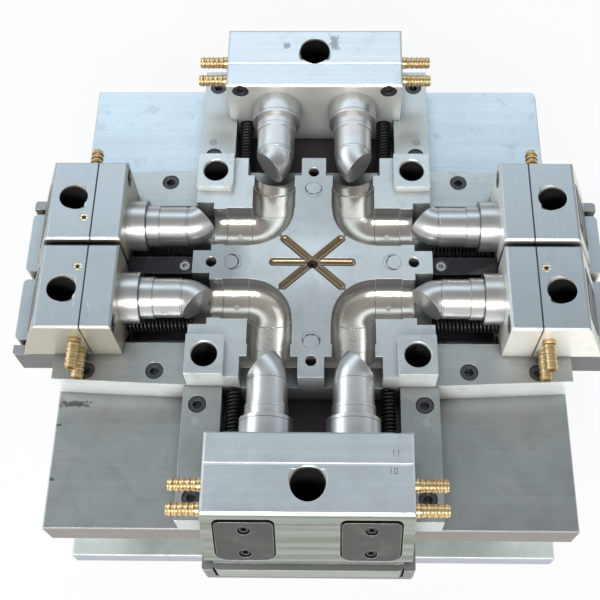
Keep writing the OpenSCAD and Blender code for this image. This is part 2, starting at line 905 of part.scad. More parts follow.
// Puts its children on the locking face: Z outwards, Y up the slope, origin on the slope's top edge
module on_heel(x, y_top, h, a) {
    translate([x, y_top, h]) rotate([0, 0, 180]) rotate([90 - a, 0, 0]) children();
}

// Angle pin hole: it leans outwards as it goes down, and opens into a pocket under the slide
module pin_hole(x, y, h, r) {
    translate([x, y, h]) rotate([pin_a, 0, 0]) {
        translate([0, 0, -far / 2]) cylinder(r = r, h = far);
        translate([0, 0, -1]) cylinder(r1 = r, r2 = r + pin_flare, h = 1.5 * pin_flare);
    }
    translate([x, y + (h - pin_relief_h) * tan(pin_a), -1]) cylinder(r = r + pin_relief, h = pin_relief_h + 1);
}

// Wear plate outline, in the plane of the locking face, with margins at the sides, top and bottom
module wear_outline(side, over, under) {
    top = over - wear_top;
    low = -wear_top - wear_l - under;
    x = wear_w / 2 + side;
    round_rect(-x, x, low, top, 10 + side);
    round_rect(-x, x, (low + top) / 2, top, 5 + side);
}

module wear_pocket() {
    translate([0, 0, -wear_t]) linear_extrude(far) wear_outline(wear_gap, wear_gap_top, wear_gap_low);
}

module wear_holes(x) {
    for (y = wear_screw_y)
        translate([x, y, -wear_t - wear_bite]) cylinder(r = m6[0] + hole_fit, h = far);
}

module wear_piece(x) {
    color(WEAR)
    difference() {
        translate([0, 0, -wear_t]) linear_extrude(wear_t + 0.4) wear_outline(0, 0, 0);
        for (y = wear_screw_y)
            translate([x, y, -wear_seat]) screw_hole(m6, wear_t);
    }
}

module wear_screws(x) {
    for (y = wear_screw_y)
        translate([x, y, -wear_seat]) cap_screw_low();
}

// Low-headed screw of a wear plate, level with the plate's face
module cap_screw_low() {
    difference() {
        union() {
            cylinder(r = m6[1] - 0.6, h = 2.6);
            translate([0, 0, -wear_t - wear_bite + 4]) cylinder(r = m6[0], h = wear_t + wear_bite - 3);
        }
        translate([0, 0, -1]) cylinder(r = m6[0] * 0.95, h = far, $fn = 6);
    }
}

module holder_screw_holes(spots, face) {
    for (s = spots)
        translate([s[0], face + m10[2] + head_room, s[1]]) rotate([90, 0, 0]) screw_hole(m10, holder_t + holder_bite);
}

module holder_screw_set(spots, face) {
    for (s = spots)
        translate([s[0], face + m10[2] + head_room, s[1]]) rotate([90, 0, 0])
            cap_screw(m10, holder_t - m10[2] - head_room + holder_bite);
}

module spring_bores(spots, face) {
    for (x = spots)
        translate([x, 0, spring_z]) rod_y(pocket_r, face - 1, face + pocket_l);
}

// Foot flange that runs under a gib's lip, from x0 outwards
module foot_flange(x0, y0, y1) {
    translate([x0 - 1, y0, lift]) cube([flange_w + 1, y1 - y0, flange_h]);
}

module side_slide(plugged) {
    y0 = side_face + holder_t;
    color(STEEL)
    difference() {
        union() {
            intersection() {
                along_y(y0, far) side_section();
                along_x(0, far) heel_profile(y0, side_heel, side_top, side_heel_a, side_seam_c);
            }
            foot_flange(side_ch - side_fit, y0, plate_w / 2 - flange_end);
            side_tail_solid();
        }
        pin_hole(side_pin_off, side_face + pin_back, side_top, side_pin_r);
        spring_bores(side_spring_spots, side_face);
        holder_screw_holes(side_holder_screws, side_face);
        on_heel(side_wear_x, side_heel, side_top, side_heel_a) {
            wear_pocket();
            wear_holes(side_wear_screw_x);
        }
        side_nipple_holes();
        if (plugged) plug_hole();
    }
}

module side_tail_solid() {
    x0 = stem_half + side_fit;
    x1 = side_ch - tail_in;
    translate([0, 0, lift]) linear_extrude(foot_h - lift)
        round_rect(x0, x1, side_heel, side_tail, foot_r);
}

module side_holder() {
    color(STEEL)
    difference() {
        intersection() {
            along_y(side_face, side_face + holder_t) side_section();
            along_x(0, far) holder_profile(side_face, side_top, side_seam_c);
        }
        shank_hole(leg, side_face);
        spring_bores(side_spring_spots, side_face);
        holder_screw_holes(side_holder_screws, side_face);
    }
}

module shank_hole(x, face) {
    translate([x, 0, part_h]) rod_y(shank_r + hole_fit, face - 1, face + shank_l + hole_fit);
}

module end_slide(nipple_y) {
    y0 = end_face + holder_t;
    color(STEEL)
    difference() {
        union() {
            intersection() {
                along_y(y0, far) end_section();
                along_x(-far, far) heel_profile(y0, end_heel, end_top, end_heel_a, end_seam_c);
            }
            for (l = [false, true])
                flip_x(l) foot_flange(end_ch - side_fit, y0, plate_d / 2 - flange_end);
            translate([0, 0, lift]) linear_extrude(foot_h - lift)
                round_rect(-end_ch + side_fit, end_ch - side_fit, end_heel, end_tail, foot_r);
        }
        pin_hole(0, end_face + pin_back - 4, end_top, end_pin_r);
        holder_screw_holes(end_holder_screws, end_face);
        spring_bores(end_spring_spots, end_face);
        for (x = [-end_wear_x, end_wear_x])
            on_heel(x, end_heel, end_top, end_heel_a) {
                wear_pocket();
                wear_holes(0);
            }
        end_nipple_holes(nipple_y);
    }
}

module end_holder(nipple_y) {
    color(LIGHT)
    difference() {
        intersection() {
            along_y(end_face, end_face + holder_t) end_section();
            along_x(-far, far) holder_profile(end_face, end_top, end_seam_c);
        }
        for (x = [-leg, leg])
            shank_hole(x, end_face);
        holder_screw_holes(end_holder_screws, end_face);
        spring_bores(end_spring_spots, end_face);
        end_nipple_holes(nipple_y);
    }
}

// Cores

// Stepped core on the right of its slide: shank, collar, seat, socket and mitred bend
module core(face, recess_l) {
    seat_y = face - recess_l - face_gap + collar_gap;
    color(POLISH)
    difference() {
        union() {
            translate([leg, 0, part_h]) {
                rod_y(shank_r, face - 1, face + shank_l);
                rod_y(collar_r, seat_y, face);
                rod_y(seat_r - seat_fit, socket_end + stroke, seat_y + 1);
                rod_y(socket_cav_r - socket_wall, bend_c + stroke, socket_end + stroke + 1);
            }
            translate([0, stroke, 0]) bend_solid(bend_cav_r - bend_wall, 50);
        }
        translate([bend_c, bend_c + stroke, part_h]) rotate([0, 0, 225])
            translate([-far / 2, -mitre_gap / 2, -far / 2]) cube(far);
    }
}

// Hose nipples

// Barbed nipple along +Z, with a short thread below its shoulder
module nipple() {
    pitch = (nipple_l - 5) / nipple_barbs;
    r_in = nipple_r * 0.82;
    color(BRASS)
    difference() {
        union() {
            translate([0, 0, -nipple_in]) cylinder(r = nipple_r * 0.8, h = nipple_in + 1);
            cylinder(r = r_in, h = nipple_l - 1);
            cylinder(r = nipple_r, h = 4);
            for (i = [0 : nipple_barbs - 1])
                translate([0, 0, 5 + i * pitch]) cylinder(r1 = nipple_r, r2 = r_in, h = pitch - 0.6);
        }
        translate([0, 0, -nipple_in - 1]) cylinder(r = nipple_r * 0.5, h = far);
    }
}

module nipple_hole() {
    translate([0, 0, -nipple_in - nipple_stop]) cylinder(r = nipple_r * 0.8 + hole_fit, h = 20);
}

module side_nipple_spots() {
    for (z = side_nipple_z)
        translate([side_out, side_nipple_y, z]) rotate([0, 90, 0]) children();
}

module side_nipple_holes() {
    side_nipple_spots() nipple_hole();
}

module side_nipples() {
    side_nipple_spots() nipple();
}

// Brass plug with a hexagon socket, level with the top of a side slide
module plug() {
    color(BRASS)
    translate([plug_at[0], plug_at[1], side_top - 0.3])
        difference() {
            translate([0, 0, -plug_l]) cylinder(r = plug_r, h = plug_l);
            translate([0, 0, -plug_l / 2]) cylinder(r = plug_r * 0.55, h = plug_l, $fn = 6);
        }
}

module plug_hole() {
    translate([plug_at[0], plug_at[1], side_top - 0.3 - plug_l]) cylinder(r = plug_r + hole_fit, h = far);
}

module end_nipple_spots(ys) {
    for (l = [false, true])
        flip_x(l)
            for (y = ys)
                translate([end_out, y, end_nipple_z]) rotate([0, 90, 0]) children();
}

module end_nipple_holes(ys) {
    end_nipple_spots(ys) nipple_hole();
}

module end_nipples(ys) {
    end_nipple_spots(ys) nipple();
}

// Springs

// Ring of wire corners round point i of a coil along +Y
function coil_ring(i, n, l) =
    let (t = i / n, a = 360 * i / coil_steps, m = spring_r - wire_r)
    [for (k = [0 : wire_sides - 1])
        let (b = 360 * k / wire_sides)
        [
            (m + wire_r * cos(b)) * cos(a),
            wire_r + (l - 2 * wire_r) * t + wire_r * sin(b),
            (m + wire_r * cos(b)) * sin(a)
        ]];

module coil(l) {
    n = spring_turns * coil_steps;
    w = wire_sides;
    rings = [for (i = [0 : n]) each coil_ring(i, n, l)];
    sides = [
        for (i = [0 : n - 1])
            for (k = [0 : w - 1])
                for (h = [0, 1])
                    h == 0
                        ? [i * w + k, i * w + (k + 1) % w, (i + 1) * w + k]
                        : [i * w + (k + 1) % w, (i + 1) * w + (k + 1) % w, (i + 1) * w + k]
    ];
    caps = [[for (k = [w - 1 : -1 : 0]) k], [for (k = [0 : w - 1]) n * w + k]];
    polyhedron(rings, concat(sides, caps), convexity = 4);
}

// Springs between the block's side and the pockets behind a slide's face
module slide_springs(spots, block_side, face) {
    color(DARK)
    for (x = spots)
        translate([x, block_side + lift, spring_z]) coil(face + pocket_l - block_side - 2 * lift);
}

module side_springs() { slide_springs(side_spring_spots, block_x, side_face); }
module end_springs() { slide_springs(end_spring_spots, block_y, end_face); }

// Side slide assemblies

module side_core() { core(side_face, recess_side_l); }

module end_cores() {
    for (l = [false, true])
        flip_x(l) core(end_face, recess_end_l);
}

module side_wear_plate() {
    on_heel(side_wear_x, side_heel, side_top, side_heel_a) wear_piece(side_wear_screw_x);
}

module side_screws() {
    color(DARK) {
        holder_screw_set(side_holder_screws, side_face);
        on_heel(side_wear_x, side_heel, side_top, side_heel_a) wear_screws(side_wear_screw_x);
    }
}

module end_wear_plates() {
    for (x = [-end_wear_x, end_wear_x])
        on_heel(x, end_heel, end_top, end_heel_a) wear_piece(0);
}

module end_screws() {
    color(DARK) {
        holder_screw_set(end_holder_screws, end_face);
        for (x = [-end_wear_x, end_wear_x])
            on_heel(x, end_heel, end_top, end_heel_a) wear_screws(0);
    }
}

module slide_left_rear() { side_place(true, false) side_slide(true); }
module slide_left_front() { side_place(true, true) side_slide(true); }
module slide_right_rear() { side_place(false, false) side_slide(false); }
module slide_right_front() { side_place(false, true) side_slide(true); }
module holder_left_rear() { side_place(true, false) side_holder(); }
module holder_left_front() { side_place(true, true) side_holder(); }
module holder_right_rear() { side_place(false, false) side_holder(); }
module holder_right_front() { side_place(false, true) side_holder(); }
module core_left_rear() { side_place(true, false) side_core(); }
module core_left_front() { side_place(true, true) side_core(); }
module core_right_rear() { side_place(false, false) side_core(); }
module core_right_front() { side_place(false, true) side_core(); }
module wear_plate_left_rear() { side_place(true, false) side_wear_plate(); }
module wear_plate_left_front() { side_place(true, true) side_wear_plate(); }
module wear_plate_right_rear() { side_place(false, false) side_wear_plate(); }
module wear_plate_right_front() { side_place(false, true) side_wear_plate(); }
module nipples_left_rear() { side_place(true, false) { side_nipples(); plug(); } }
module nipples_left_front() { side_place(true, true) { side_nipples(); plug(); } }
module nipples_right_rear() { side_place(false, false) side_nipples(); }
module nipples_right_front() { side_place(false, true) { side_nipples(); plug(); } }
module springs_left_rear() { side_place(true, false) side_springs(); }
module springs_left_front() { side_place(true, true) side_springs(); }
module springs_right_rear() { side_place(false, false) side_springs(); }
module springs_right_front() { side_place(false, true) side_springs(); }
module screws_left_rear() { side_place(true, false) side_screws(); }
module screws_left_front() { side_place(true, true) side_screws(); }
module screws_right_rear() { side_place(false, false) side_screws(); }
module screws_right_front() { side_place(false, true) side_screws(); }
module slide_back() { end_place(false) end_slide(back_nipple_y); }
module slide_front() { end_place(true) end_slide(front_nipple_y); }
module holder_back() { end_place(false) end_holder(back_nipple_y); }
module holder_front() { end_place(true) end_holder(front_nipple_y); }
module cores_back() { end_place(false) end_cores(); }
module cores_front() { end_place(true) end_cores(); }
module springs_back() { end_place(false) end_springs(); }
module springs_front() { end_place(true) end_springs(); }
module wear_plates_back() { end_place(false) end_wear_plates(); }
module wear_plates_front() { end_place(true) end_wear_plates(); }
module nipples_back() { end_place(false) end_nipples(back_nipple_y); }
module nipples_front() { end_place(true) end_nipples(front_nipple_y); }
module screws_back() { end_place(false) end_screws(); }
module screws_front() { end_place(true) end_screws(); }

clamp_plate();
spacer_blocks();
main_plate();
cavity_block();
centre_rails();
side_gibs_left();
side_gibs_right();
end_gibs_front();
end_gibs_back();
slide_supports();
gib_fasteners();
plate_bolts();
support_pillars();
ejector_plate();
retainer_plate();
return_pins();
ejector_pins();
ejector_screws();
slide_left_rear();
slide_left_front();
slide_right_rear();
slide_right_front();
holder_left_rear();
holder_left_front();
holder_right_rear();
holder_right_front();
core_left_rear();
core_left_front();
core_right_rear();
core_right_front();
wear_plate_left_rear();
wear_plate_left_front();
wear_plate_right_rear();
wear_plate_right_front();
nipples_left_rear();
nipples_left_front();
nipples_right_rear();
nipples_right_front();
springs_left_rear();
springs_left_front();
springs_right_rear();
springs_right_front();
screws_left_rear();
screws_left_front();
screws_right_rear();
screws_right_front();
slide_back();
slide_front();
holder_back();
holder_front();
cores_back();
cores_front();
springs_back();
springs_front();
wear_plates_back();
wear_plates_front();
nipples_back();
nipples_front();
screws_back();
screws_front();
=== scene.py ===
"""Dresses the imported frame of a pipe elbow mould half: finishes, finer pieces, floor, light and camera."""

import math

import bmesh
import bpy
from bpy.props import FloatProperty, FloatVectorProperty, IntProperty, PointerProperty
from bpy.types import Operator, Panel, PropertyGroup
from mathutils import Matrix, Vector


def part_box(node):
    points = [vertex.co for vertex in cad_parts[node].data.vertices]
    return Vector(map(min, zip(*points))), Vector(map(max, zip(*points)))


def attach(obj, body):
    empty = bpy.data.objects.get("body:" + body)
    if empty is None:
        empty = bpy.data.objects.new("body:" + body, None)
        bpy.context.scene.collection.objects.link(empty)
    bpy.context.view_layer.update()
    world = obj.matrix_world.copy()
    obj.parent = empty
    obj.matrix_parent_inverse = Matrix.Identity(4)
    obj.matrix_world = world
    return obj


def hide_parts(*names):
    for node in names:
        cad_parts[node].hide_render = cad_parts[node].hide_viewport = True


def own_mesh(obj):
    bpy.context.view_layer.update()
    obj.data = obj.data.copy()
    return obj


bl_info = {
    "name": "Elbow Mould Half",
    "version": (1, 0, 0),
    "blender": (4, 5, 0),
    "location": "3D View > Sidebar > Mould",
    "description": "Builds the finishes, springs, marks and stage of a four-cavity elbow mould half",
    "category": "Object",
}

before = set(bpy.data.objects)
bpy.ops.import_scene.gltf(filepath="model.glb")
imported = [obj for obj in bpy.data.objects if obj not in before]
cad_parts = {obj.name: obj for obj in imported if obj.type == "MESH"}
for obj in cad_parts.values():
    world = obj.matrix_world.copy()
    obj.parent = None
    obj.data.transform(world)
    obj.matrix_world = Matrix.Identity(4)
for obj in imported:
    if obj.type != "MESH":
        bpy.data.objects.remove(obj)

MM = 0.001
PLATE_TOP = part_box("main_plate")[1].z
SIDES = ("left_rear", "left_front", "right_rear", "right_front")
ENDS = ("back", "front")


# Property groups


class MouldFinishes(PropertyGroup):
    """Colours and surface values of the metals"""

    plate_tone: FloatVectorProperty(
        name="Plate colour", description="Ground steel of the plates", subtype="COLOR",
        size=3, min=0, max=1, default=(0.50, 0.53, 0.53))
    main_tone: FloatVectorProperty(
        name="Main plate colour", description="Ground steel of the main plate's top", subtype="COLOR",
        size=3, min=0, max=1, default=(0.54, 0.61, 0.66))
    cavity_tone: FloatVectorProperty(
        name="Cavity colour", description="Polished steel of the elbow cavities", subtype="COLOR",
        size=3, min=0, max=1, default=(0.60, 0.56, 0.50))
    block_tone: FloatVectorProperty(
        name="Block colour", description="Ground steel of the cavity block", subtype="COLOR",
        size=3, min=0, max=1, default=(0.54, 0.57, 0.58))
    slide_tone: FloatVectorProperty(
        name="Slide colour", description="Ground steel of the slides", subtype="COLOR",
        size=3, min=0, max=1, default=(0.43, 0.465, 0.49))
    brass_tone: FloatVectorProperty(
        name="Brass colour", description="Brass of nipples and plugs", subtype="COLOR",
        size=3, min=0, max=1, default=(0.93, 0.74, 0.44))
    # Width of the bright edges, which are partly wear and partly a painted highlight
    edge_wear_and_highlight: FloatProperty(
        name="Worn edge", description="Width of the bright edges", subtype="DISTANCE",
        unit="LENGTH", min=0.0001, max=0.003, default=0.0009)


class MouldSprings(PropertyGroup):
    """Sizes of the slides' coil springs"""

    coil_radius: FloatProperty(
        name="Coil radius", description="Radius of a coil's centre line", subtype="DISTANCE",
        unit="LENGTH", min=0.003, max=0.01, default=0.00625)
    wire_radius: FloatProperty(
        name="Wire radius", description="Radius of the wire", subtype="DISTANCE",
        unit="LENGTH", min=0.0005, max=0.002, default=0.00125)
    turns: IntProperty(name="Turns", description="Turns of a coil", min=6, max=30, default=26)


class MouldStamps(PropertyGroup):
    """Sizes of the punched set marks"""

    digit_height: FloatProperty(
        name="Digit height", description="Height of a punched digit", subtype="DISTANCE",
        unit="LENGTH", min=0.002, max=0.01, default=0.0045)
    stroke: FloatProperty(
        name="Stroke", description="Width of a punched stroke", subtype="DISTANCE",
        unit="LENGTH", min=0.0002, max=0.002, default=0.0006)


class MouldStage(PropertyGroup):
    """Light and floor"""

    floor_tone: FloatVectorProperty(
        name="Floor colour", description="Colour that the floor gives to the object", subtype="COLOR",
        size=3, min=0, max=1, default=(0.80, 0.80, 0.78))
    sky_strength: FloatProperty(
        name="Sky strength", description="Strength of the even light", min=0, max=3, default=1.45)
    lamp_power: FloatProperty(
        name="Lamp power", description="Power of the large soft lamp", subtype="POWER",
        min=0, max=500, default=48)


# Nodes


def put(tree, kind, values=None, **settings):
    """Adds a shader node. A value that is a socket is linked, any other is set."""
    n = tree.nodes.new(kind)
    for key, value in settings.items():
        setattr(n, key, value)
    for key, value in (values or {}).items():
        if isinstance(value, bpy.types.NodeSocket):
            tree.links.new(value, n.inputs[key])
        else:
            n.inputs[key].default_value = value
    return n


def ramp(tree, factor, stops):
    """Colour ramp with stops of (place, colour or grey)."""
    n = put(tree, "ShaderNodeValToRGB", {"Fac": factor})
    line = n.color_ramp
    while len(line.elements) < len(stops):
        line.elements.new(1.0)
    for element, (place, tone) in zip(line.elements, stops):
        element.position = place
        element.color = tone if isinstance(tone, tuple) else (tone, tone, tone, 1)
    return n.outputs["Color"]


def mixed(tree, factor, a, b):
    """Mixes two colours."""
    n = put(tree, "ShaderNodeMix", data_type="RGBA")
    for place, value in ((0, factor), (6, a), (7, b)):
        if isinstance(value, bpy.types.NodeSocket):
            tree.links.new(value, n.inputs[place])
        elif place == 0:
            n.inputs[place].default_value = value
        else:
            n.inputs[place].default_value = (*value[:3], 1)
    return n.outputs[2]


def sums(tree, kind, a, b, c=None):
    """One step of arithmetic."""
    n = put(tree, "ShaderNodeMath", operation=kind)
    for place, value in enumerate((a, b, c)):
        if isinstance(value, bpy.types.NodeSocket):
            tree.links.new(value, n.inputs[place])
        elif value is not None:
            n.inputs[place].default_value = value
    return n.outputs[0]


def noise(tree, coords, scale, detail=4.0, roughness=0.5, distortion=0.0):
    """Noise in the object's own coordinates."""
    return put(tree, "ShaderNodeTexNoise", {
        "Vector": coords, "Scale": scale, "Detail": detail,
        "Roughness": roughness, "Distortion": distortion}).outputs["Fac"]


def stretched(tree, coords, scale):
    """Object coordinates stretched along one axis."""
    return put(tree, "ShaderNodeMapping", {"Vector": coords, "Scale": scale}).outputs["Vector"]


def fresh(name):
    """An empty material with its output and principled shader."""
    m = bpy.data.materials.new(name)
    m.use_nodes = True
    tree = m.node_tree
    tree.nodes.clear()
    shader = put(tree, "ShaderNodeBsdfPrincipled")
    out = put(tree, "ShaderNodeOutputMaterial", {"Surface": shader.outputs[0]})
    out.location = (400, 0)
    return m, tree, shader


def split(tree, place):
    """Absolute x and y, and z, of a place."""
    n = put(tree, "ShaderNodeSeparateXYZ", {0: place})
    return (sums(tree, "ABSOLUTE", n.outputs["X"], None), sums(tree, "ABSOLUTE", n.outputs["Y"], None),
            n.outputs["Z"])


def upward(tree):
    """1 on level faces and 0 on upright ones."""
    normal = put(tree, "ShaderNodeNewGeometry").outputs["Normal"]
    height = put(tree, "ShaderNodeSeparateXYZ", {0: normal}).outputs["Z"]
    return ramp(tree, sums(tree, "ABSOLUTE", height, None), ((0.35, 0.0), (0.80, 1.0)))


def rim_light(tree, soft, low=0.80, high=0.985):
    """1 along edges, where the rounded normal departs from the face's."""
    face = put(tree, "ShaderNodeNewGeometry").outputs["Normal"]
    same = put(tree, "ShaderNodeVectorMath", {0: soft, 1: face}, operation="DOT_PRODUCT")
    return ramp(tree, same.outputs["Value"], ((low, 1.0), (high, 0.0)))


def hollow(tree, reach, low, high):
    """1 inside holes, gaps and corners, and 0 on open faces."""
    open_sky = put(tree, "ShaderNodeAmbientOcclusion", {"Distance": reach}, samples=6)
    return ramp(tree, open_sky.outputs["AO"], ((low, 1.0), (high, 0.0)))


# Colours of stains and pits on ground steel, and of the painted shade in its holes and corners
OIL_STAIN = (0.22, 0.19, 0.15)
PIT = (0.12, 0.11, 0.10)
# Painted shade: the dark colour given to holes, gaps and corners
HOLLOW_SHADE_TONE = (0.030, 0.026, 0.027)
# Metallic share of level and of upright ground faces
LEVEL_METAL = 0.75
SIDE_METAL = 0.35


def ground_steel(name, tone, rough, grain, blotch=0.16, stain=0.3, seed=0.0, edge=0.0009, side=None,
                 corner_shade=0.92, unshaded=None, seam=None, seam_tone=(0.03, 0.03, 0.035),
                 rim_tone=(0.90, 0.92, 0.92), bands=0.0, zones=()):
    """Ground steel: wheel marks along grain, cloudy patches, oil stains, bright edges that are partly wear
    and partly painted highlight, and painted shade in holes and corners.

    side is the colour of upright faces, painted lighter or darker for how the light falls on them;
    corner_shade the strength of the painted shade in holes and corners, unshaded the mask maker of areas
    without that painted shade, seam that of a joint line, and bands the depth of broad milling bands.
    zones are (mask maker, colour, roughness) for worked areas and for painted light and shade."""
    m, tree, shader = fresh(name)
    still = put(tree, "ShaderNodeTexCoord").outputs["Object"]
    moved = put(tree, "ShaderNodeMapping", {"Vector": still, "Location": (seed, seed * 0.7, seed * 1.3)})
    place = moved.outputs["Vector"]
    clouds = noise(tree, place, 9.0, 6.0, 0.6)
    patches = noise(tree, place, 34.0, 8.0, 0.65, 0.6)
    lines = noise(tree, stretched(tree, place, grain), 1.0, 6.0, 0.7)
    specks = noise(tree, place, 420.0, 3.0, 0.6)
    roughness = rough
    level_face = upward(tree)
    # Upright faces take the side colour, painted lighter or darker for how the light falls on them
    base = mixed(tree, level_face, side or tone, tone)
    for mask, colour, polish in zones:
        where = mask(tree, still)
        base = mixed(tree, where, base, colour)
        roughness = sums(tree, "MULTIPLY_ADD", where, polish - rough, roughness)
    level = sums(tree, "MULTIPLY_ADD", clouds, 2 * blotch, 1 - blotch)
    level = sums(tree, "MULTIPLY_ADD", sums(tree, "SUBTRACT", lines, 0.5), 0.26, level)
    level = sums(tree, "MULTIPLY_ADD", sums(tree, "SUBTRACT", patches, 0.5), 2.2 * blotch, level)
    if bands:
        broad = noise(tree, stretched(tree, place, tuple(0.075 * v for v in grain)), 1.0, 2.0, 0.5)
        level = sums(tree, "MULTIPLY_ADD", sums(tree, "SUBTRACT", broad, 0.5), bands, level)
    colour = put(tree, "ShaderNodeVectorMath", {0: base}, operation="SCALE")
    tree.links.new(level, colour.inputs["Scale"])
    stains = ramp(tree, patches, ((0.56, 0.0), (0.74, 1.0)))
    colour = mixed(tree, sums(tree, "MULTIPLY", stains, stain), colour.outputs[0], OIL_STAIN)
    dots = ramp(tree, specks, ((0.70, 0.0), (0.76, 1.0)))
    colour = mixed(tree, sums(tree, "MULTIPLY", dots, 0.35), colour, PIT)
    soft = put(tree, "ShaderNodeBevel", {"Radius": edge}, samples=4).outputs[0]
    # Bright edges: partly wear, partly a painted highlight where the edges catch the light
    rim = sums(tree, "MULTIPLY", rim_light(tree, soft), 0.65)
    colour = mixed(tree, rim, colour, rim_tone)
    if seam:
        colour = mixed(tree, sums(tree, "MULTIPLY", seam(tree, still), 0.9), colour, seam_tone)
    # Painted shade: holes, gaps and corners are darkened where little light reaches
    hollow_shade = sums(tree, "MULTIPLY", hollow(tree, 0.030, 0.22, 0.70), corner_shade)
    if unshaded:
        hollow_shade = sums(tree, "MULTIPLY", hollow_shade, sums(tree, "SUBTRACT", 1.0, unshaded(tree, still)))
    colour = mixed(tree, hollow_shade, colour, HOLLOW_SHADE_TONE)
    bump = put(tree, "ShaderNodeBump", {
        "Height": lines, "Strength": 0.10, "Distance": 0.0006, "Normal": soft})
    tree.links.new(colour, shader.inputs["Base Color"])
    tree.links.new(
        sums(tree, "MULTIPLY_ADD", sums(tree, "SUBTRACT", patches, 0.5), 0.22, roughness),
        shader.inputs["Roughness"])
    tree.links.new(bump.outputs[0], shader.inputs["Normal"])
    tree.links.new(
        sums(tree, "MULTIPLY_ADD", level_face, LEVEL_METAL - SIDE_METAL, SIDE_METAL),
        shader.inputs["Metallic"])
    return m


def turned_steel(name, tone, rough, rings, seed=0.0, axis="X", witness=()):
    """Turned and polished steel: fine rings across the axis, warm patches, and dark lines at its joints."""
    m, tree, shader = fresh(name)
    place = put(tree, "ShaderNodeTexCoord").outputs["Object"]
    clouds = noise(tree, put(tree, "ShaderNodeMapping", {
        "Vector": place, "Location": (seed, 0, seed)}).outputs[0], 26.0, 5.0, 0.6)
    lines = noise(tree, stretched(tree, place, rings), 1.0, 4.0, 0.6)
    level = sums(tree, "MULTIPLY_ADD", sums(tree, "SUBTRACT", lines, 0.5), 0.30, 1.0)
    colour = put(tree, "ShaderNodeVectorMath", {0: tone[:3]}, operation="SCALE")
    tree.links.new(level, colour.inputs["Scale"])
    warm = ramp(tree, clouds, ((0.50, 0.0), (0.72, 1.0)))
    colour = mixed(tree, sums(tree, "MULTIPLY", warm, 0.35), colour.outputs[0], (0.50, 0.43, 0.36))
    x, y, _ = split(tree, place)
    along = x if axis == "X" else y
    for at, half in witness:
        line = sums(tree, "COMPARE", along, at, half)
        colour = mixed(tree, sums(tree, "MULTIPLY", line, 0.75), colour, (0.10, 0.10, 0.11))
    soft = put(tree, "ShaderNodeBevel", {"Radius": 0.0006}, samples=4)
    bump = put(tree, "ShaderNodeBump", {
        "Height": lines, "Strength": 0.08, "Distance": 0.0004, "Normal": soft.outputs[0]})
    tree.links.new(colour, shader.inputs["Base Color"])
    tree.links.new(sums(tree, "MULTIPLY_ADD", clouds, 0.16, rough - 0.08), shader.inputs["Roughness"])
    tree.links.new(bump.outputs[0], shader.inputs["Normal"])
    shader.inputs["Metallic"].default_value = 0.88
    return m


def machined_brass(name, tone, axis):
    """Bright brass with painted shade in its grooves, and fine ribs across its axis with painted shade in
    their troughs.
    """
    m, tree, shader = fresh(name)
    place = put(tree, "ShaderNodeTexCoord").outputs["Object"]
    clouds = noise(tree, place, 130.0, 4.0, 0.6)
    corners = put(tree, "ShaderNodeAmbientOcclusion", {"Distance": 0.003}, samples=4)
    colour = mixed(tree, ramp(tree, clouds, ((0.35, 0.0), (0.75, 1.0))), tone, (0.62, 0.40, 0.16))
    # Painted shade in the grooves, where little light reaches
    groove_shade = ramp(tree, corners.outputs["AO"], ((0.35, 1.0), (0.85, 0.0)))
    colour = mixed(tree, groove_shade, colour, (0.36, 0.22, 0.08))
    ribs = put(tree, "ShaderNodeTexWave", {"Vector": place, "Scale": 105.0, "Distortion": 0.3},
               bands_direction=axis, wave_profile="SIN").outputs["Fac"]
    # Painted shade in the troughs of the ribs
    colour = mixed(tree, ramp(tree, ribs, ((0.08, 0.55), (0.35, 0.0))), colour, (0.42, 0.27, 0.10))
    _, _, z = split(tree, place)
    flush = sums(tree, "GREATER_THAN", z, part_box("holder_left_rear")[1].z - 1.5 * MM)
    colour = mixed(tree, sums(tree, "MULTIPLY", flush, 0.8), colour, (0.80, 0.77, 0.62))
    soft = put(tree, "ShaderNodeBevel", {"Radius": 0.0004}, samples=4)
    bump = put(tree, "ShaderNodeBump", {
        "Height": ribs, "Strength": 0.3, "Distance": 0.0004, "Normal": soft.outputs[0]})
    tree.links.new(colour, shader.inputs["Base Color"])
    tree.links.new(bump.outputs[0], shader.inputs["Normal"])
    tree.links.new(sums(tree, "MULTIPLY_ADD", clouds, 0.15, 0.22), shader.inputs["Roughness"])
    shader.inputs["Metallic"].default_value = 0.9
    return m


def black_oxide(name, tone=(0.035, 0.036, 0.040), flush=None):
    """Black oxide on screws and springs, worn bright along the edges. What ends above flush is bare steel."""
    m, tree, shader = fresh(name)
    place = put(tree, "ShaderNodeTexCoord").outputs["Object"]
    clouds = noise(tree, place, 260.0, 4.0, 0.6)
    soft = put(tree, "ShaderNodeBevel", {"Radius": 0.0005}, samples=4)
    rim = rim_light(tree, soft.outputs[0], 0.80, 0.98)
    colour = mixed(tree, clouds, tone, tuple(3.2 * v for v in tone[:3]))
    colour = mixed(tree, sums(tree, "MULTIPLY", rim, 0.8), colour, (0.42, 0.42, 0.41))
    # Painted shade in the hollows, such as the screws' sockets
    colour = mixed(tree, hollow(tree, 0.004, 0.2, 0.7), colour, (0.008, 0.008, 0.009))
    if flush:
        _, _, z = split(tree, place)
        bare = sums(tree, "MULTIPLY", sums(tree, "GREATER_THAN", z, flush), sums(tree, "SUBTRACT", 1.0, rim))
        colour = mixed(tree, bare, colour, (0.42, 0.43, 0.42))
    tree.links.new(colour, shader.inputs["Base Color"])
    tree.links.new(soft.outputs[0], shader.inputs["Normal"])
    tree.links.new(sums(tree, "MULTIPLY_ADD", clouds, 0.2, 0.30), shader.inputs["Roughness"])
    shader.inputs["Metallic"].default_value = 0.75
    return m


def dress(node, material):
    """Gives a frame node one material."""
    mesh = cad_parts[node].data
    mesh.materials.clear()
    mesh.materials.append(material)


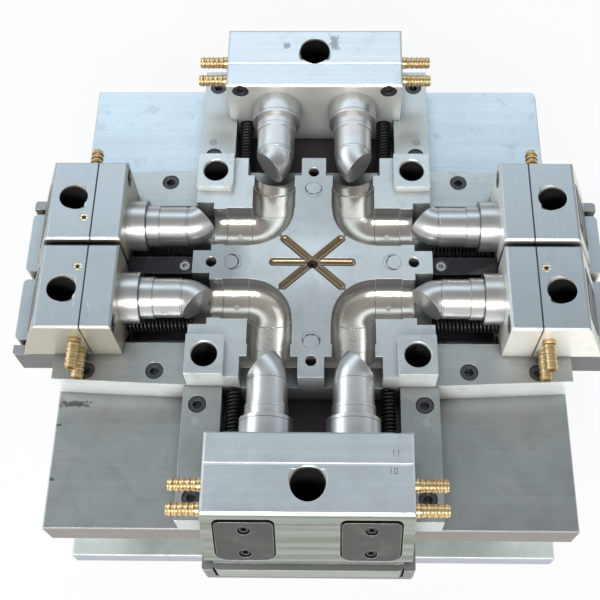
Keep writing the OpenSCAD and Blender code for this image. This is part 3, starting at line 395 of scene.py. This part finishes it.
ALONG_X = (60.0, 2600.0, 2600.0)
ALONG_Y = (2600.0, 60.0, 2600.0)

# Distances of a core's visible joints from its holder's face, and half their widths
CORE_JOINTS = ((0.0186, 0.0004), (0.0314, 0.0002), (0.0596, 0.0003))
# Distances of the cavities' steps and of their outer ends from the middle, and the runner star's reach
CAVITY_STEPS = (0.0624, 0.0883)
CAVITY_END = 0.1012
RUNNER_REACH = 0.062
# Half widths of the channels between the gibs
SIDE_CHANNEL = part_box("side_gibs_left")[1].y - 0.062
END_CHANNEL = 0.072
BLOCK_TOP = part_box("return_pins")[1].z
BELOW_TOP = BLOCK_TOP - 0.4 * MM
SLIDE_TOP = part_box("holder_front")[1].z
SIDE_SLIDE_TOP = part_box("holder_left_rear")[1].z
BOSS_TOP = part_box("cavity_block")[1].z
# Larger and smaller distance of a hole's axis from the middle at the top, and a radius just past its wall
END_PIN_HOLE = (0.23295, 0.0, 0.0172)
SIDE_PIN_HOLE = (0.2328, 0.050, 0.0147)
GUIDE_BORE = (0.10215, 0.10025, 0.0150)
# Slope of the angle pin holes
LEAN = math.tan(math.radians(18))
# Smears and nicks: x, y, half length, half width
PLATE_SMEARS = (
    (-0.2334, -0.1288, 0.017, 0.0036), (-0.2470, -0.1507, 0.003, 0.0016), (-0.2466, -0.2049, 0.003, 0.002))
BACK_SMEARS = ((0.0205, 0.2440, 0.006, 0.011), (-0.0300, 0.2400, 0.004, 0.004))


def seam_mask(tree, place):
    """The joint between a side slide and its holder."""
    x, _, _ = split(tree, place)
    return sums(tree, "COMPARE", x, -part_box("holder_left_rear")[0].x, 0.8 * MM)


def end_seam_highlight_mask(tree, place):
    """The broken edges at the joint between an end slide and its holder, which get a painted highlight."""
    _, y, z = split(tree, place)
    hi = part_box("holder_back")[1]
    line = sums(tree, "COMPARE", y, hi.y, 1.1 * MM)
    return sums(tree, "MULTIPLY", line, sums(tree, "GREATER_THAN", z, hi.z - MM))


def step_mask(tree, place):
    """The thin lines where the elbow cavities change from bend to socket and from socket to seat."""
    x, y, z = split(tree, place)
    far = sums(tree, "MAXIMUM", x, y)
    lines = [sums(tree, "COMPARE", far, at, 0.35 * MM) for at in CAVITY_STEPS]
    both = sums(tree, "MAXIMUM", *lines)
    return sums(tree, "MULTIPLY", both, sums(tree, "LESS_THAN", z, BELOW_TOP))


def front_shade_mask(tree, place):
    """The top of the plate's front half, painted darker as shade for the dimmer light that it reflects."""
    y = put(tree, "ShaderNodeSeparateXYZ", {0: place}).outputs["Y"]
    near = ramp(tree, sums(tree, "MULTIPLY_ADD", y, -4.0, 0.2), ((0.35, 0.0), (0.75, 1.0)))
    return sums(tree, "MULTIPLY", near, upward(tree))


def centre_sheen_mask(tree, place):
    """The middle of the block's top, painted brighter as a sheen of reflected light."""
    x, y, _ = split(tree, place)
    away = sums(tree, "SQRT", sums(tree, "MULTIPLY_ADD", x, x, sums(tree, "MULTIPLY", y, y)), None)
    return sums(tree, "MULTIPLY", ramp(tree, sums(tree, "MULTIPLY", away, 10.0), ((0.15, 1.0), (0.42, 0.0))),
                upward(tree))


def arm_ends_shade_mask(tree, place):
    """The tops of the block's front and back arms, painted darker as shade."""
    x, y, _ = split(tree, place)
    out = ramp(tree, sums(tree, "MULTIPLY", y, 10.0), ((0.18, 0.0), (0.50, 1.0)))
    return sums(tree, "MULTIPLY", out, sums(tree, "LESS_THAN", x, 0.036))


def ring_mask(tree, place):
    """The dirty, broken rings round the ends of the return pins."""
    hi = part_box("return_pins")[1]
    radius = 9 * MM
    x, y, _ = split(tree, place)
    rings = []
    for along, across, reach in ((x, y, hi.x), (y, x, hi.y)):
        off = sums(tree, "SUBTRACT", along, reach - radius)
        square = sums(tree, "MULTIPLY_ADD", off, off, sums(tree, "MULTIPLY", across, across))
        away = sums(tree, "SUBTRACT", sums(tree, "SQRT", square, None), radius - 0.7 * MM)
        apart = sums(tree, "MULTIPLY", sums(tree, "ABSOLUTE", away, None), 1000.0)
        rings.append(ramp(tree, apart, ((0.55, 1.0), (0.95, 0.0))))
    broken = ramp(tree, noise(tree, place, 300.0, 3.0, 0.6), ((0.38, 0.25), (0.55, 1.0)))
    return sums(tree, "MULTIPLY", sums(tree, "MAXIMUM", *rings), broken)


def puller_mask(tree, place):
    """The sprue puller's end, in the shade of the runner star's middle."""
    x, y, _ = split(tree, place)
    return sums(tree, "LESS_THAN", sums(tree, "MAXIMUM", x, y), 8 * MM)


def smears(level, spots):
    """Mask maker of smears at (x, y, half length, half width) on faces above a level."""
    def mask(tree, place):
        parts = put(tree, "ShaderNodeSeparateXYZ", {0: place})
        ragged = sums(tree, "MULTIPLY", sums(tree, "SUBTRACT", noise(tree, place, 260.0, 4.0, 0.7), 0.5), 2.4)
        total = None
        for x, y, long, wide in spots:
            away = []
            for axis, at, half in (("X", x, long), ("Y", y, wide)):
                off = sums(tree, "ABSOLUTE", sums(tree, "SUBTRACT", parts.outputs[axis], at), None)
                away.append(sums(tree, "DIVIDE", off, half))
            far = sums(tree, "MAXIMUM", *away)
            spot = ramp(tree, sums(tree, "ADD", far, ragged), ((0.55, 1.0), (1.0, 0.0)))
            total = spot if total is None else sums(tree, "MAXIMUM", total, spot)
        return sums(tree, "MULTIPLY", total, sums(tree, "GREATER_THAN", parts.outputs["Z"], level))
    return mask


def channel_shade_mask(tree, place):
    """The plate's top between the gibs, painted dark as the shade under and between the slides."""
    x, y, z = split(tree, place)
    side = sums(tree, "LESS_THAN", y, SIDE_CHANNEL)
    end = sums(tree, "LESS_THAN", x, END_CHANNEL)
    both = sums(tree, "MAXIMUM", side, end)
    return sums(tree, "MULTIPLY", both, sums(tree, "GREATER_THAN", z, PLATE_TOP - MM))


def cavity_mask(tree, place):
    """The polished elbow cavities, below the parting plane."""
    x, y, z = split(tree, place)
    near = sums(tree, "LESS_THAN", sums(tree, "MAXIMUM", x, y), CAVITY_END)
    return sums(tree, "MULTIPLY", near, sums(tree, "LESS_THAN", z, BELOW_TOP))


def left_arm_shade_mask(tree, place):
    """The arm of the block's top towards the left side slides, painted darker as shade."""
    parts = put(tree, "ShaderNodeSeparateXYZ", {0: place})
    out = ramp(tree, sums(tree, "MULTIPLY", parts.outputs["X"], -10.0), ((0.60, 0.0), (0.78, 1.0)))
    off = sums(tree, "ABSOLUTE", parts.outputs["Y"], None)
    return sums(tree, "MULTIPLY", out, sums(tree, "LESS_THAN", off, 0.034))


def hole_shade_mask(hole, lean, level):
    """Mask maker of the painted shade inside a round hole and its mirror images, below a level.

    lean is the slope of the hole's axis."""
    start, off, radius = hole

    def mask(tree, place):
        x, y, z = split(tree, place)
        depth = sums(tree, "SUBTRACT", level, z)
        far, near = sums(tree, "MAXIMUM", x, y), sums(tree, "MINIMUM", x, y)
        along = sums(tree, "SUBTRACT", far, sums(tree, "MULTIPLY_ADD", depth, lean, start))
        across = sums(tree, "SUBTRACT", near, off)
        square = sums(tree, "MULTIPLY_ADD", along, along, sums(tree, "MULTIPLY", across, across))
        inside = sums(tree, "LESS_THAN", square, radius * radius)
        deep = ramp(tree, sums(tree, "MULTIPLY", depth, 100.0), ((0.22, 0.0), (0.45, 1.0)))
        return sums(tree, "MULTIPLY", inside, deep)
    return mask


def shade_mask(tree, place):
    """The steep upper walls of the elbow cavities, which look dark."""
    _, _, z = split(tree, place)
    depth = sums(tree, "SUBTRACT", BLOCK_TOP, z)
    return sums(tree, "MULTIPLY", cavity_mask(tree, place),
                ramp(tree, sums(tree, "MULTIPLY", depth, 40.0), ((0.40, 1.0), (0.80, 0.0))))


def heel_mask(tree, place):
    """The sloping locking faces at the outer ends of the end slides."""
    _, y, z = split(tree, place)
    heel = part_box("wear_plates_front")[0].y
    return sums(tree, "MULTIPLY", sums(tree, "GREATER_THAN", y, -heel - 0.028),
                sums(tree, "LESS_THAN", z, SLIDE_TOP - MM))


def heel_band_mask(tree, place):
    """The broad milling bands across the locking faces."""
    wave = noise(tree, stretched(tree, place, (3.0, 3.0, 190.0)), 1.0, 3.0, 0.6)
    bands = ramp(tree, wave, ((0.44, 0.0), (0.60, 0.8)))
    return sums(tree, "MULTIPLY", heel_mask(tree, place), bands)


def runner_mask(tree, place):
    """The runner star in the middle of the block."""
    x, y, z = split(tree, place)
    mid = sums(tree, "LESS_THAN", sums(tree, "ADD", x, y), RUNNER_REACH)
    return sums(tree, "MULTIPLY", mid, sums(tree, "LESS_THAN", z, BELOW_TOP))


def core_lines(q):
    """Places of a core's joints along its axis."""
    lo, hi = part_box("holder_" + q)
    face = min(abs(lo.x), abs(hi.x)) if q in SIDES else min(abs(lo.y), abs(hi.y))
    return [(face - back, half) for back, half in CORE_JOINTS]


# Shapes


def finished(name, bm, material, smooth=True):
    """Makes a mesh object of a bmesh, at the origin."""
    bmesh.ops.recalc_face_normals(bm, faces=bm.faces)
    mesh = bpy.data.meshes.new(name)
    bm.to_mesh(mesh)
    bm.free()
    mesh.materials.append(material)
    if smooth:
        mesh.shade_smooth()
    o = bpy.data.objects.new(name, mesh)
    bpy.context.scene.collection.objects.link(o)
    return o


def coil(bm, start, end, radius, wire, turns):
    """Adds one coil spring between two points on its axis."""
    start, end = Vector(start), Vector(end)
    axis = (end - start).normalized()
    across = Vector((0, 0, 1))
    turn = Matrix((across, axis, across.cross(axis))).transposed().to_4x4()
    steps = 14 * turns
    made = bmesh.ops.create_circle(
        bm, cap_ends=True, segments=8, radius=wire,
        matrix=Matrix.Translation(start + across * radius + axis * wire) @ turn)
    face = list({f for v in made["verts"] for f in v.link_faces})
    edges = list({e for v in made["verts"] for e in v.link_edges})
    length = (end - start).length - 2 * wire
    bmesh.ops.spin(
        bm, geom=made["verts"] + edges + face, cent=start, axis=axis, dvec=axis * (length / steps),
        angle=math.tau * turns, steps=steps, use_duplicate=False)


# Strokes of the digits, as (x, y, width, height) in shares of a digit's height
STROKES = {
    "0": ((0, 0.5, 0.5, 0), (0, -0.5, 0.5, 0), (-0.25, 0, 0, 1), (0.25, 0, 0, 1)),
    "1": ((0, 0, 0, 1),),
    "4": ((0.15, 0, 0, 1), (-0.25, 0.25, 0, 0.5), (0, 0, 0.5, 0)),
}


def stamp(bm, digits, middle, height, stroke):
    """Adds a row of punched digits, as flat strokes a hair above a level face."""
    for i, digit in enumerate(digits):
        x0 = (i - (len(digits) - 1) / 2) * 0.9 * height
        for x, y, w, h in STROKES[digit]:
            size = Matrix.Diagonal((w * height + stroke, h * height + stroke, 0.2 * MM, 1))
            spot = middle + Vector((x0 + x * height, y * height, -0.06 * MM))
            bmesh.ops.create_cube(bm, size=1, matrix=Matrix.Translation(spot) @ size)


# Sky from the rear horizon, over the top, to the front horizon: (share of the half turn, colour)
SKY = (
    (0.00, (0.25, 0.27, 0.29, 1)), (0.15, (0.27, 0.30, 0.32, 1)), (0.215, (0.62, 0.70, 0.76, 1)),
    (0.26, (1.05, 1.20, 1.32, 1)), (0.305, (1.05, 1.20, 1.32, 1)), (0.345, (0.52, 0.57, 0.60, 1)),
    (0.37, (0.28, 0.30, 0.31, 1)),
    (0.41, (0.17, 0.175, 0.18, 1)), (0.50, (0.20, 0.205, 0.21, 1)),
    (0.62, (0.22, 0.215, 0.21, 1)), (0.72, (0.50, 0.49, 0.47, 1)), (0.80, (0.80, 0.80, 0.78, 1)),
    (0.90, (0.50, 0.49, 0.47, 1)), (1.00, (0.30, 0.28, 0.26, 1)))


# Camera fitted to the photograph: place in millimetres, downward pitch, yaw and roll in degrees
CAMERA_SPOT = (23.798, -467.568, 1078.937)
CAMERA_TURN = (64.0507, -2.0139, -1.5682)
CAMERA_LENS = 60.275
CAMERA_SHIFT = (-0.0349, 0.0003)


# Operators


class MOULD_OT_finishes(Operator):
    """Gives every node of the frame its metal finish"""

    bl_idname = "mould.finishes"
    bl_label = "Metal finishes"

    def execute(self, context):
        p = context.scene.mould_finishes
        edge = p.edge_wear_and_highlight
        # Painted shade: the darker fronts of the plate's and gibs' tops
        front_shade_tone = tuple(0.72 * v for v in p.plate_tone)
        # Painted shade: the dark inside of the holes and bores
        hole_shade_tone = (0.012, 0.011, 0.012)
        # Painted shade: the darker left arm of the block's top
        left_arm_shade_tone = (0.33, 0.355, 0.365)
        # Painted shade: the darker front and back arms of the block's top
        arm_ends_shade_tone = tuple(0.82 * v for v in p.block_tone)
        end_hole = hole_shade_mask(END_PIN_HOLE, LEAN, SLIDE_TOP)
        side_hole = hole_shade_mask(SIDE_PIN_HOLE, LEAN, SIDE_SLIDE_TOP)
        guide_hole = hole_shade_mask(GUIDE_BORE, 0.0, BOSS_TOP)
        # Painted light and shade: each side colour below paints upright faces lighter or darker for how the
        # light falls on them; the plate's front and channel zones are painted shade too
        plate = ground_steel(
            "Plate steel", p.main_tone, 0.28, ALONG_X, stain=0.45, edge=edge,
            side=(0.125, 0.098, 0.075), bands=0.18,
            zones=[(front_shade_mask, (0.36, 0.38, 0.375), 0.32), (channel_shade_mask, (0.075, 0.060, 0.070), 0.45),
                   (smears(PLATE_TOP - MM, PLATE_SMEARS), (0.10, 0.10, 0.10), 0.5)])
        lower = ground_steel(
            "Lower plate steel", p.plate_tone, 0.36, ALONG_X, stain=0.5, seed=3.1, edge=edge,
            side=(0.68, 0.74, 0.72))
        clamp = ground_steel(
            "Clamp plate steel", (0.74, 0.80, 0.78), 0.42, ALONG_X, blotch=0.22, stain=0.3, seed=3.7,
            edge=edge, side=(0.36, 0.38, 0.46), corner_shade=0.25)
        support = ground_steel(
            "Support steel", tuple(0.62 * v for v in p.plate_tone), 0.36, ALONG_Y, stain=0.4, seed=4.7,
            edge=edge, side=(0.12, 0.125, 0.115))
        block = ground_steel(
            "Block steel", p.block_tone, 0.30, ALONG_X, blotch=0.22, stain=0.35, seed=1.7, edge=edge,
            side=(0.84, 0.88, 0.86), unshaded=cavity_mask,
            zones=[(centre_sheen_mask, tuple(1.16 * v for v in p.block_tone), 0.30),
                   (arm_ends_shade_mask, arm_ends_shade_tone, 0.34),
                   (left_arm_shade_mask, left_arm_shade_tone, 0.34), (cavity_mask, p.cavity_tone, 0.16),
                   (shade_mask, (0.15, 0.15, 0.15), 0.22), (guide_hole, hole_shade_tone, 0.6),
                   (step_mask, (0.16, 0.14, 0.12), 0.3), (runner_mask, (0.25, 0.19, 0.125), 0.38)])
        gib_x = ground_steel(
            "Side gib steel", p.plate_tone, 0.33, ALONG_X, stain=0.35, seed=5.3, edge=edge,
            side=(0.84, 0.88, 0.86), bands=0.25, zones=[(front_shade_mask, front_shade_tone, 0.36)])
        gib_y = ground_steel(
            "End gib steel", p.plate_tone, 0.33, ALONG_Y, stain=0.35, seed=6.1, edge=edge,
            zones=[(front_shade_mask, front_shade_tone, 0.36)])
        # The left slides' upright faces are painted dark as shade and the right slides' bright as lit: two
        # copies of one slide steel
        slides_x = {tag: ground_steel(
            tag.capitalize() + " slide steel", p.slide_tone, 0.32, ALONG_Y, blotch=0.10, stain=0.2, seed=seed,
            edge=edge, side=side, seam=seam_mask, zones=[(side_hole, hole_shade_tone, 0.6)])
            for tag, side, seed in (("left", (0.40, 0.375, 0.31), 2.2), ("right", (0.86, 0.85, 0.79), 6.6))}
        slide_y = ground_steel(
            "End slide steel", tuple(min(1, 1.45 * v) for v in p.slide_tone), 0.32, ALONG_X, blotch=0.10,
            stain=0.2, seed=8.4, edge=edge, side=(0.56, 0.58, 0.55), seam=end_seam_highlight_mask,
            # The end seam's bright colour is a painted highlight on the broken edges of the joint
            seam_tone=(0.93, 0.96, 0.98), bands=0.22,
            zones=[(heel_mask, (0.29, 0.31, 0.29), 0.40), (heel_band_mask, (0.16, 0.185, 0.145), 0.30),
                   (end_hole, hole_shade_tone, 0.6),
                   (smears(SLIDE_TOP - MM, BACK_SMEARS), (0.34, 0.37, 0.40), 0.4)])
        rail = ground_steel(
            "Rail steel", (0.030, 0.025, 0.030), 0.40, ALONG_X, stain=0.5, seed=4.4, edge=edge)
        wear = ground_steel(
            "Wear plate steel", (0.075, 0.077, 0.075), 0.42, ALONG_X, blotch=0.2, stain=0.3, seed=9.9,
            edge=edge)
        core_x = turned_steel(
            "Side core steel", (0.58, 0.58, 0.58), 0.30, (2400.0, 90.0, 90.0), 0.4, "X",
            core_lines("left_rear"))
        core_y = turned_steel(
            "End core steel", (0.58, 0.58, 0.58), 0.30, (90.0, 2400.0, 90.0), 1.9, "Y", core_lines("back"))
        pins = turned_steel("Pin steel", (0.58, 0.61, 0.62), 0.30, (900.0, 900.0, 60.0), 2.8)
        pin_ends = ground_steel(
            "Return pin steel", p.block_tone, 0.32, ALONG_X, blotch=0.30, seed=7.7, edge=0.0014,
            rim_tone=(0.03, 0.03, 0.03),
            zones=[(arm_ends_shade_mask, arm_ends_shade_tone, 0.34),
                   (left_arm_shade_mask, left_arm_shade_tone, 0.34), (ring_mask, (0.05, 0.05, 0.05), 0.5)])
        ejector_ends = ground_steel(
            "Ejector pin steel", p.cavity_tone, 0.16, ALONG_X, seed=3.9, edge=0.0003, corner_shade=0.0,
            zones=[(puller_mask, (0.06, 0.045, 0.03), 0.5)])
        black = black_oxide("Black oxide")
        fasteners = black_oxide("Fastener steel", flush=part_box("side_gibs_left")[1].z - 0.3 * MM)
        brass = {axis: machined_brass("Brass " + axis, tuple(p.brass_tone), axis) for axis in "XY"}
        table = {
            "clamp_plate": clamp, "spacer_blocks": lower, "main_plate": plate, "cavity_block": block,
            "centre_rails": rail, "side_gibs_left": gib_x, "side_gibs_right": gib_x,
            "end_gibs_front": gib_y, "end_gibs_back": gib_y, "slide_supports": support,
            "gib_fasteners": fasteners, "plate_bolts": black, "support_pillars": pins,
            "ejector_plate": lower, "retainer_plate": lower, "return_pins": pin_ends,
            "ejector_pins": ejector_ends, "ejector_screws": black,
        }
        for q in SIDES:
            slide_x = slides_x[q.split("_")[0]]
            table.update({
                "slide_" + q: slide_x, "holder_" + q: slide_x, "core_" + q: core_x,
                "wear_plate_" + q: wear, "nipples_" + q: brass["Y"],
                "screws_" + q: black, "springs_" + q: black})
        for q in ENDS:
            table.update({
                "slide_" + q: slide_y, "holder_" + q: slide_y, "cores_" + q: core_y,
                "wear_plates_" + q: wear, "nipples_" + q: brass["X"],
                "screws_" + q: black, "springs_" + q: black})
        for node, material in table.items():
            dress(node, material)
        return {"FINISHED"}


class MOULD_OT_springs(Operator):
    """Winds the coil springs that push the slides open"""

    bl_idname = "mould.springs"
    bl_label = "Slide springs"

    def execute(self, context):
        p = context.scene.mould_springs
        wire = black_oxide("Spring wire", (0.022, 0.021, 0.022))
        for q in SIDES + ENDS:
            node = "springs_" + q
            lo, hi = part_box(node)
            mid = (lo + hi) / 2
            along_x = q in SIDES
            low, high = (lo.x, hi.x) if along_x else (lo.y, hi.y)
            inner, outer = (low, high) if mid[0 if along_x else 1] > 0 else (high, low)
            reach = p.coil_radius + p.wire_radius
            spread = (lo.y + reach, hi.y - reach) if along_x else (lo.x + reach, hi.x - reach)
            bm = bmesh.new()
            for s in spread:
                ends = [(v, s, mid.z) if along_x else (s, v, mid.z) for v in (inner, outer)]
                coil(bm, ends[0], ends[1], p.coil_radius, p.wire_radius, p.turns)
            o = finished("coils_" + q, bm, wire)
            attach(o, "base")
            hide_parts(node)
            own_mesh(o)
        return {"FINISHED"}


class MOULD_OT_stamps(Operator):
    """Punches the small set marks into the tops of the slides"""

    bl_idname = "mould.stamps"
    bl_label = "Set marks"

    def execute(self, context):
        p = context.scene.mould_stamps
        dark = black_oxide("Stamped mark", (0.05, 0.055, 0.06))
        fresh_cut = ground_steel("Fresh mark", (0.80, 0.84, 0.88), 0.4, ALONG_X, corner_shade=0.0)
        for name, body, node, material, marks in (
                ("stamps_front", "slide_front", "holder_front", dark,
                 (("11", 0.0761, -0.2059), ("10", 0.0733, -0.2221))),
                ("stamps_left_front", "slide_left_front", "holder_left_front", fresh_cut,
                 (("1", -0.2197, -0.0665), ("4", -0.2054, -0.0685)))):
            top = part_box(node)[1].z
            bm = bmesh.new()
            for digits, x, y in marks:
                stamp(bm, digits, Vector((x, y, top)), p.digit_height, p.stroke)
            o = finished(name, bm, material, smooth=False)
            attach(o, body)
        return {"FINISHED"}


class MOULD_OT_stage(Operator):
    """Sets the floor, the soft light and the camera"""

    bl_idname = "mould.stage"
    bl_label = "Stage"

    def execute(self, context):
        p = context.scene.mould_stage
        scene = context.scene
        bm = bmesh.new()
        bmesh.ops.create_grid(bm, x_segments=8, y_segments=8, size=30)
        m, tree, shader = fresh("Pale floor")
        place = put(tree, "ShaderNodeTexCoord").outputs["Object"]
        cloud = noise(tree, place, 2.0, 3.0)
        tone = tuple(p.floor_tone)
        colour = mixed(tree, cloud, tuple(v * 0.97 for v in tone), tone)
        tree.links.new(colour, shader.inputs["Base Color"])
        shader.inputs["Roughness"].default_value = 0.9
        white = put(tree, "ShaderNodeEmission", {"Color": (1, 1, 1, 1), "Strength": 1.0})
        path = put(tree, "ShaderNodeLightPath")
        seen = sums(tree, "MAXIMUM", path.outputs["Is Camera Ray"], path.outputs["Is Glossy Ray"])
        seen = sums(tree, "MAXIMUM", seen, path.outputs["Is Transmission Ray"])
        out = next(n for n in tree.nodes if n.type == "OUTPUT_MATERIAL")
        mix = put(tree, "ShaderNodeMixShader", {0: sums(tree, "MULTIPLY", seen, 0.9)})
        tree.links.new(shader.outputs[0], mix.inputs[1])
        tree.links.new(white.outputs[0], mix.inputs[2])
        tree.links.new(mix.outputs[0], out.inputs["Surface"])
        floor = finished("Floor", bm, m, smooth=False)

        world = bpy.data.worlds.new("Soft studio")
        scene.world = world
        world.use_nodes = True
        tree = world.node_tree
        tree.nodes.clear()
        way = put(tree, "ShaderNodeSeparateXYZ", {0: put(tree, "ShaderNodeTexCoord").outputs["Generated"]})
        turn = sums(tree, "ARCTAN2", way.outputs["Z"], way.outputs["Y"])
        sky = ramp(tree, sums(tree, "DIVIDE", turn, math.pi), SKY)
        tilt = sums(tree, "MULTIPLY_ADD", way.outputs["X"], -0.30, 1.0)
        light = put(tree, "ShaderNodeBackground", {
            "Color": sky, "Strength": sums(tree, "MULTIPLY", tilt, p.sky_strength)})
        put(tree, "ShaderNodeOutputWorld", {"Surface": light.outputs[0]})

        for name, spot, size, power, tone in (
                ("Front soft lamp", (-0.1, -2.0, 1.75), (1.8, 0.8), p.lamp_power, (1.0, 1.0, 0.99)),
                ("Left soft lamp", (-1.8, 0.4, 1.3), (1.5, 1.2), p.lamp_power * 0.18, (0.93, 0.97, 1.0))):
            lamp = bpy.data.lights.new(name, "AREA")
            lamp.shape = "RECTANGLE"
            lamp.size, lamp.size_y = size
            lamp.energy = power
            lamp.color = tone
            o = bpy.data.objects.new(name, lamp)
            scene.collection.objects.link(o)
            o.location = spot
            o.rotation_mode = "QUATERNION"
            o.rotation_quaternion = (Vector((0, 0, 0.15)) - Vector(spot)).to_track_quat("-Z", "Y")

        cam = bpy.data.cameras.new("Camera")
        cam.lens = CAMERA_LENS
        cam.shift_x, cam.shift_y = CAMERA_SHIFT
        cam.clip_end = 50
        o = bpy.data.objects.new("Camera", cam)
        scene.collection.objects.link(o)
        pitch, yaw, roll = (math.radians(v) for v in CAMERA_TURN)
        ahead = Vector((math.sin(yaw) * math.cos(pitch), math.cos(yaw) * math.cos(pitch), -math.sin(pitch)))
        level = Vector((math.cos(yaw), -math.sin(yaw), 0))
        up = level.cross(ahead)
        right = level * math.cos(roll) + up * math.sin(roll)
        above = up * math.cos(roll) - level * math.sin(roll)
        o.matrix_world = Matrix.Translation(Vector(CAMERA_SPOT) * MM) @ Matrix(
            (right, above, -ahead)).transposed().to_4x4()
        scene.camera = o
        scene.view_settings.view_transform = "Standard"
        return {"FINISHED"}


class MOULD_PT_panel(Panel):
    """Lists the mould's pieces and finishes"""

    bl_idname = "MOULD_PT_panel"
    bl_label = "Elbow mould"
    bl_space_type = "VIEW_3D"
    bl_region_type = "UI"
    bl_category = "Mould"

    def draw(self, context):
        for _, group in GROUPS:
            self.layout.label(text=group.replace("_", " ").capitalize())
            owner = getattr(context.scene, group)
            for name in owner.__annotations__:
                self.layout.prop(owner, name)
        for kind in PIECES:
            self.layout.operator(kind.bl_idname)


GROUPS = (
    (MouldFinishes, "mould_finishes"), (MouldSprings, "mould_springs"),
    (MouldStamps, "mould_stamps"), (MouldStage, "mould_stage"))
PIECES = (MOULD_OT_finishes, MOULD_OT_springs, MOULD_OT_stamps, MOULD_OT_stage)


def register():
    for kind, name in GROUPS:
        bpy.utils.register_class(kind)
        setattr(bpy.types.Scene, name, PointerProperty(type=kind))
    for kind in (*PIECES, MOULD_PT_panel):
        bpy.utils.register_class(kind)


def unregister():
    for kind in (MOULD_PT_panel, *reversed(PIECES)):
        bpy.utils.unregister_class(kind)
    for kind, name in reversed(GROUPS):
        delattr(bpy.types.Scene, name)
        bpy.utils.unregister_class(kind)


def main():
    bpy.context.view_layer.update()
    register()
    bpy.ops.mould.finishes()
    bpy.ops.mould.springs()
    bpy.ops.mould.stamps()
    bpy.ops.mould.stage()


if __name__ == "__main__":
    main()
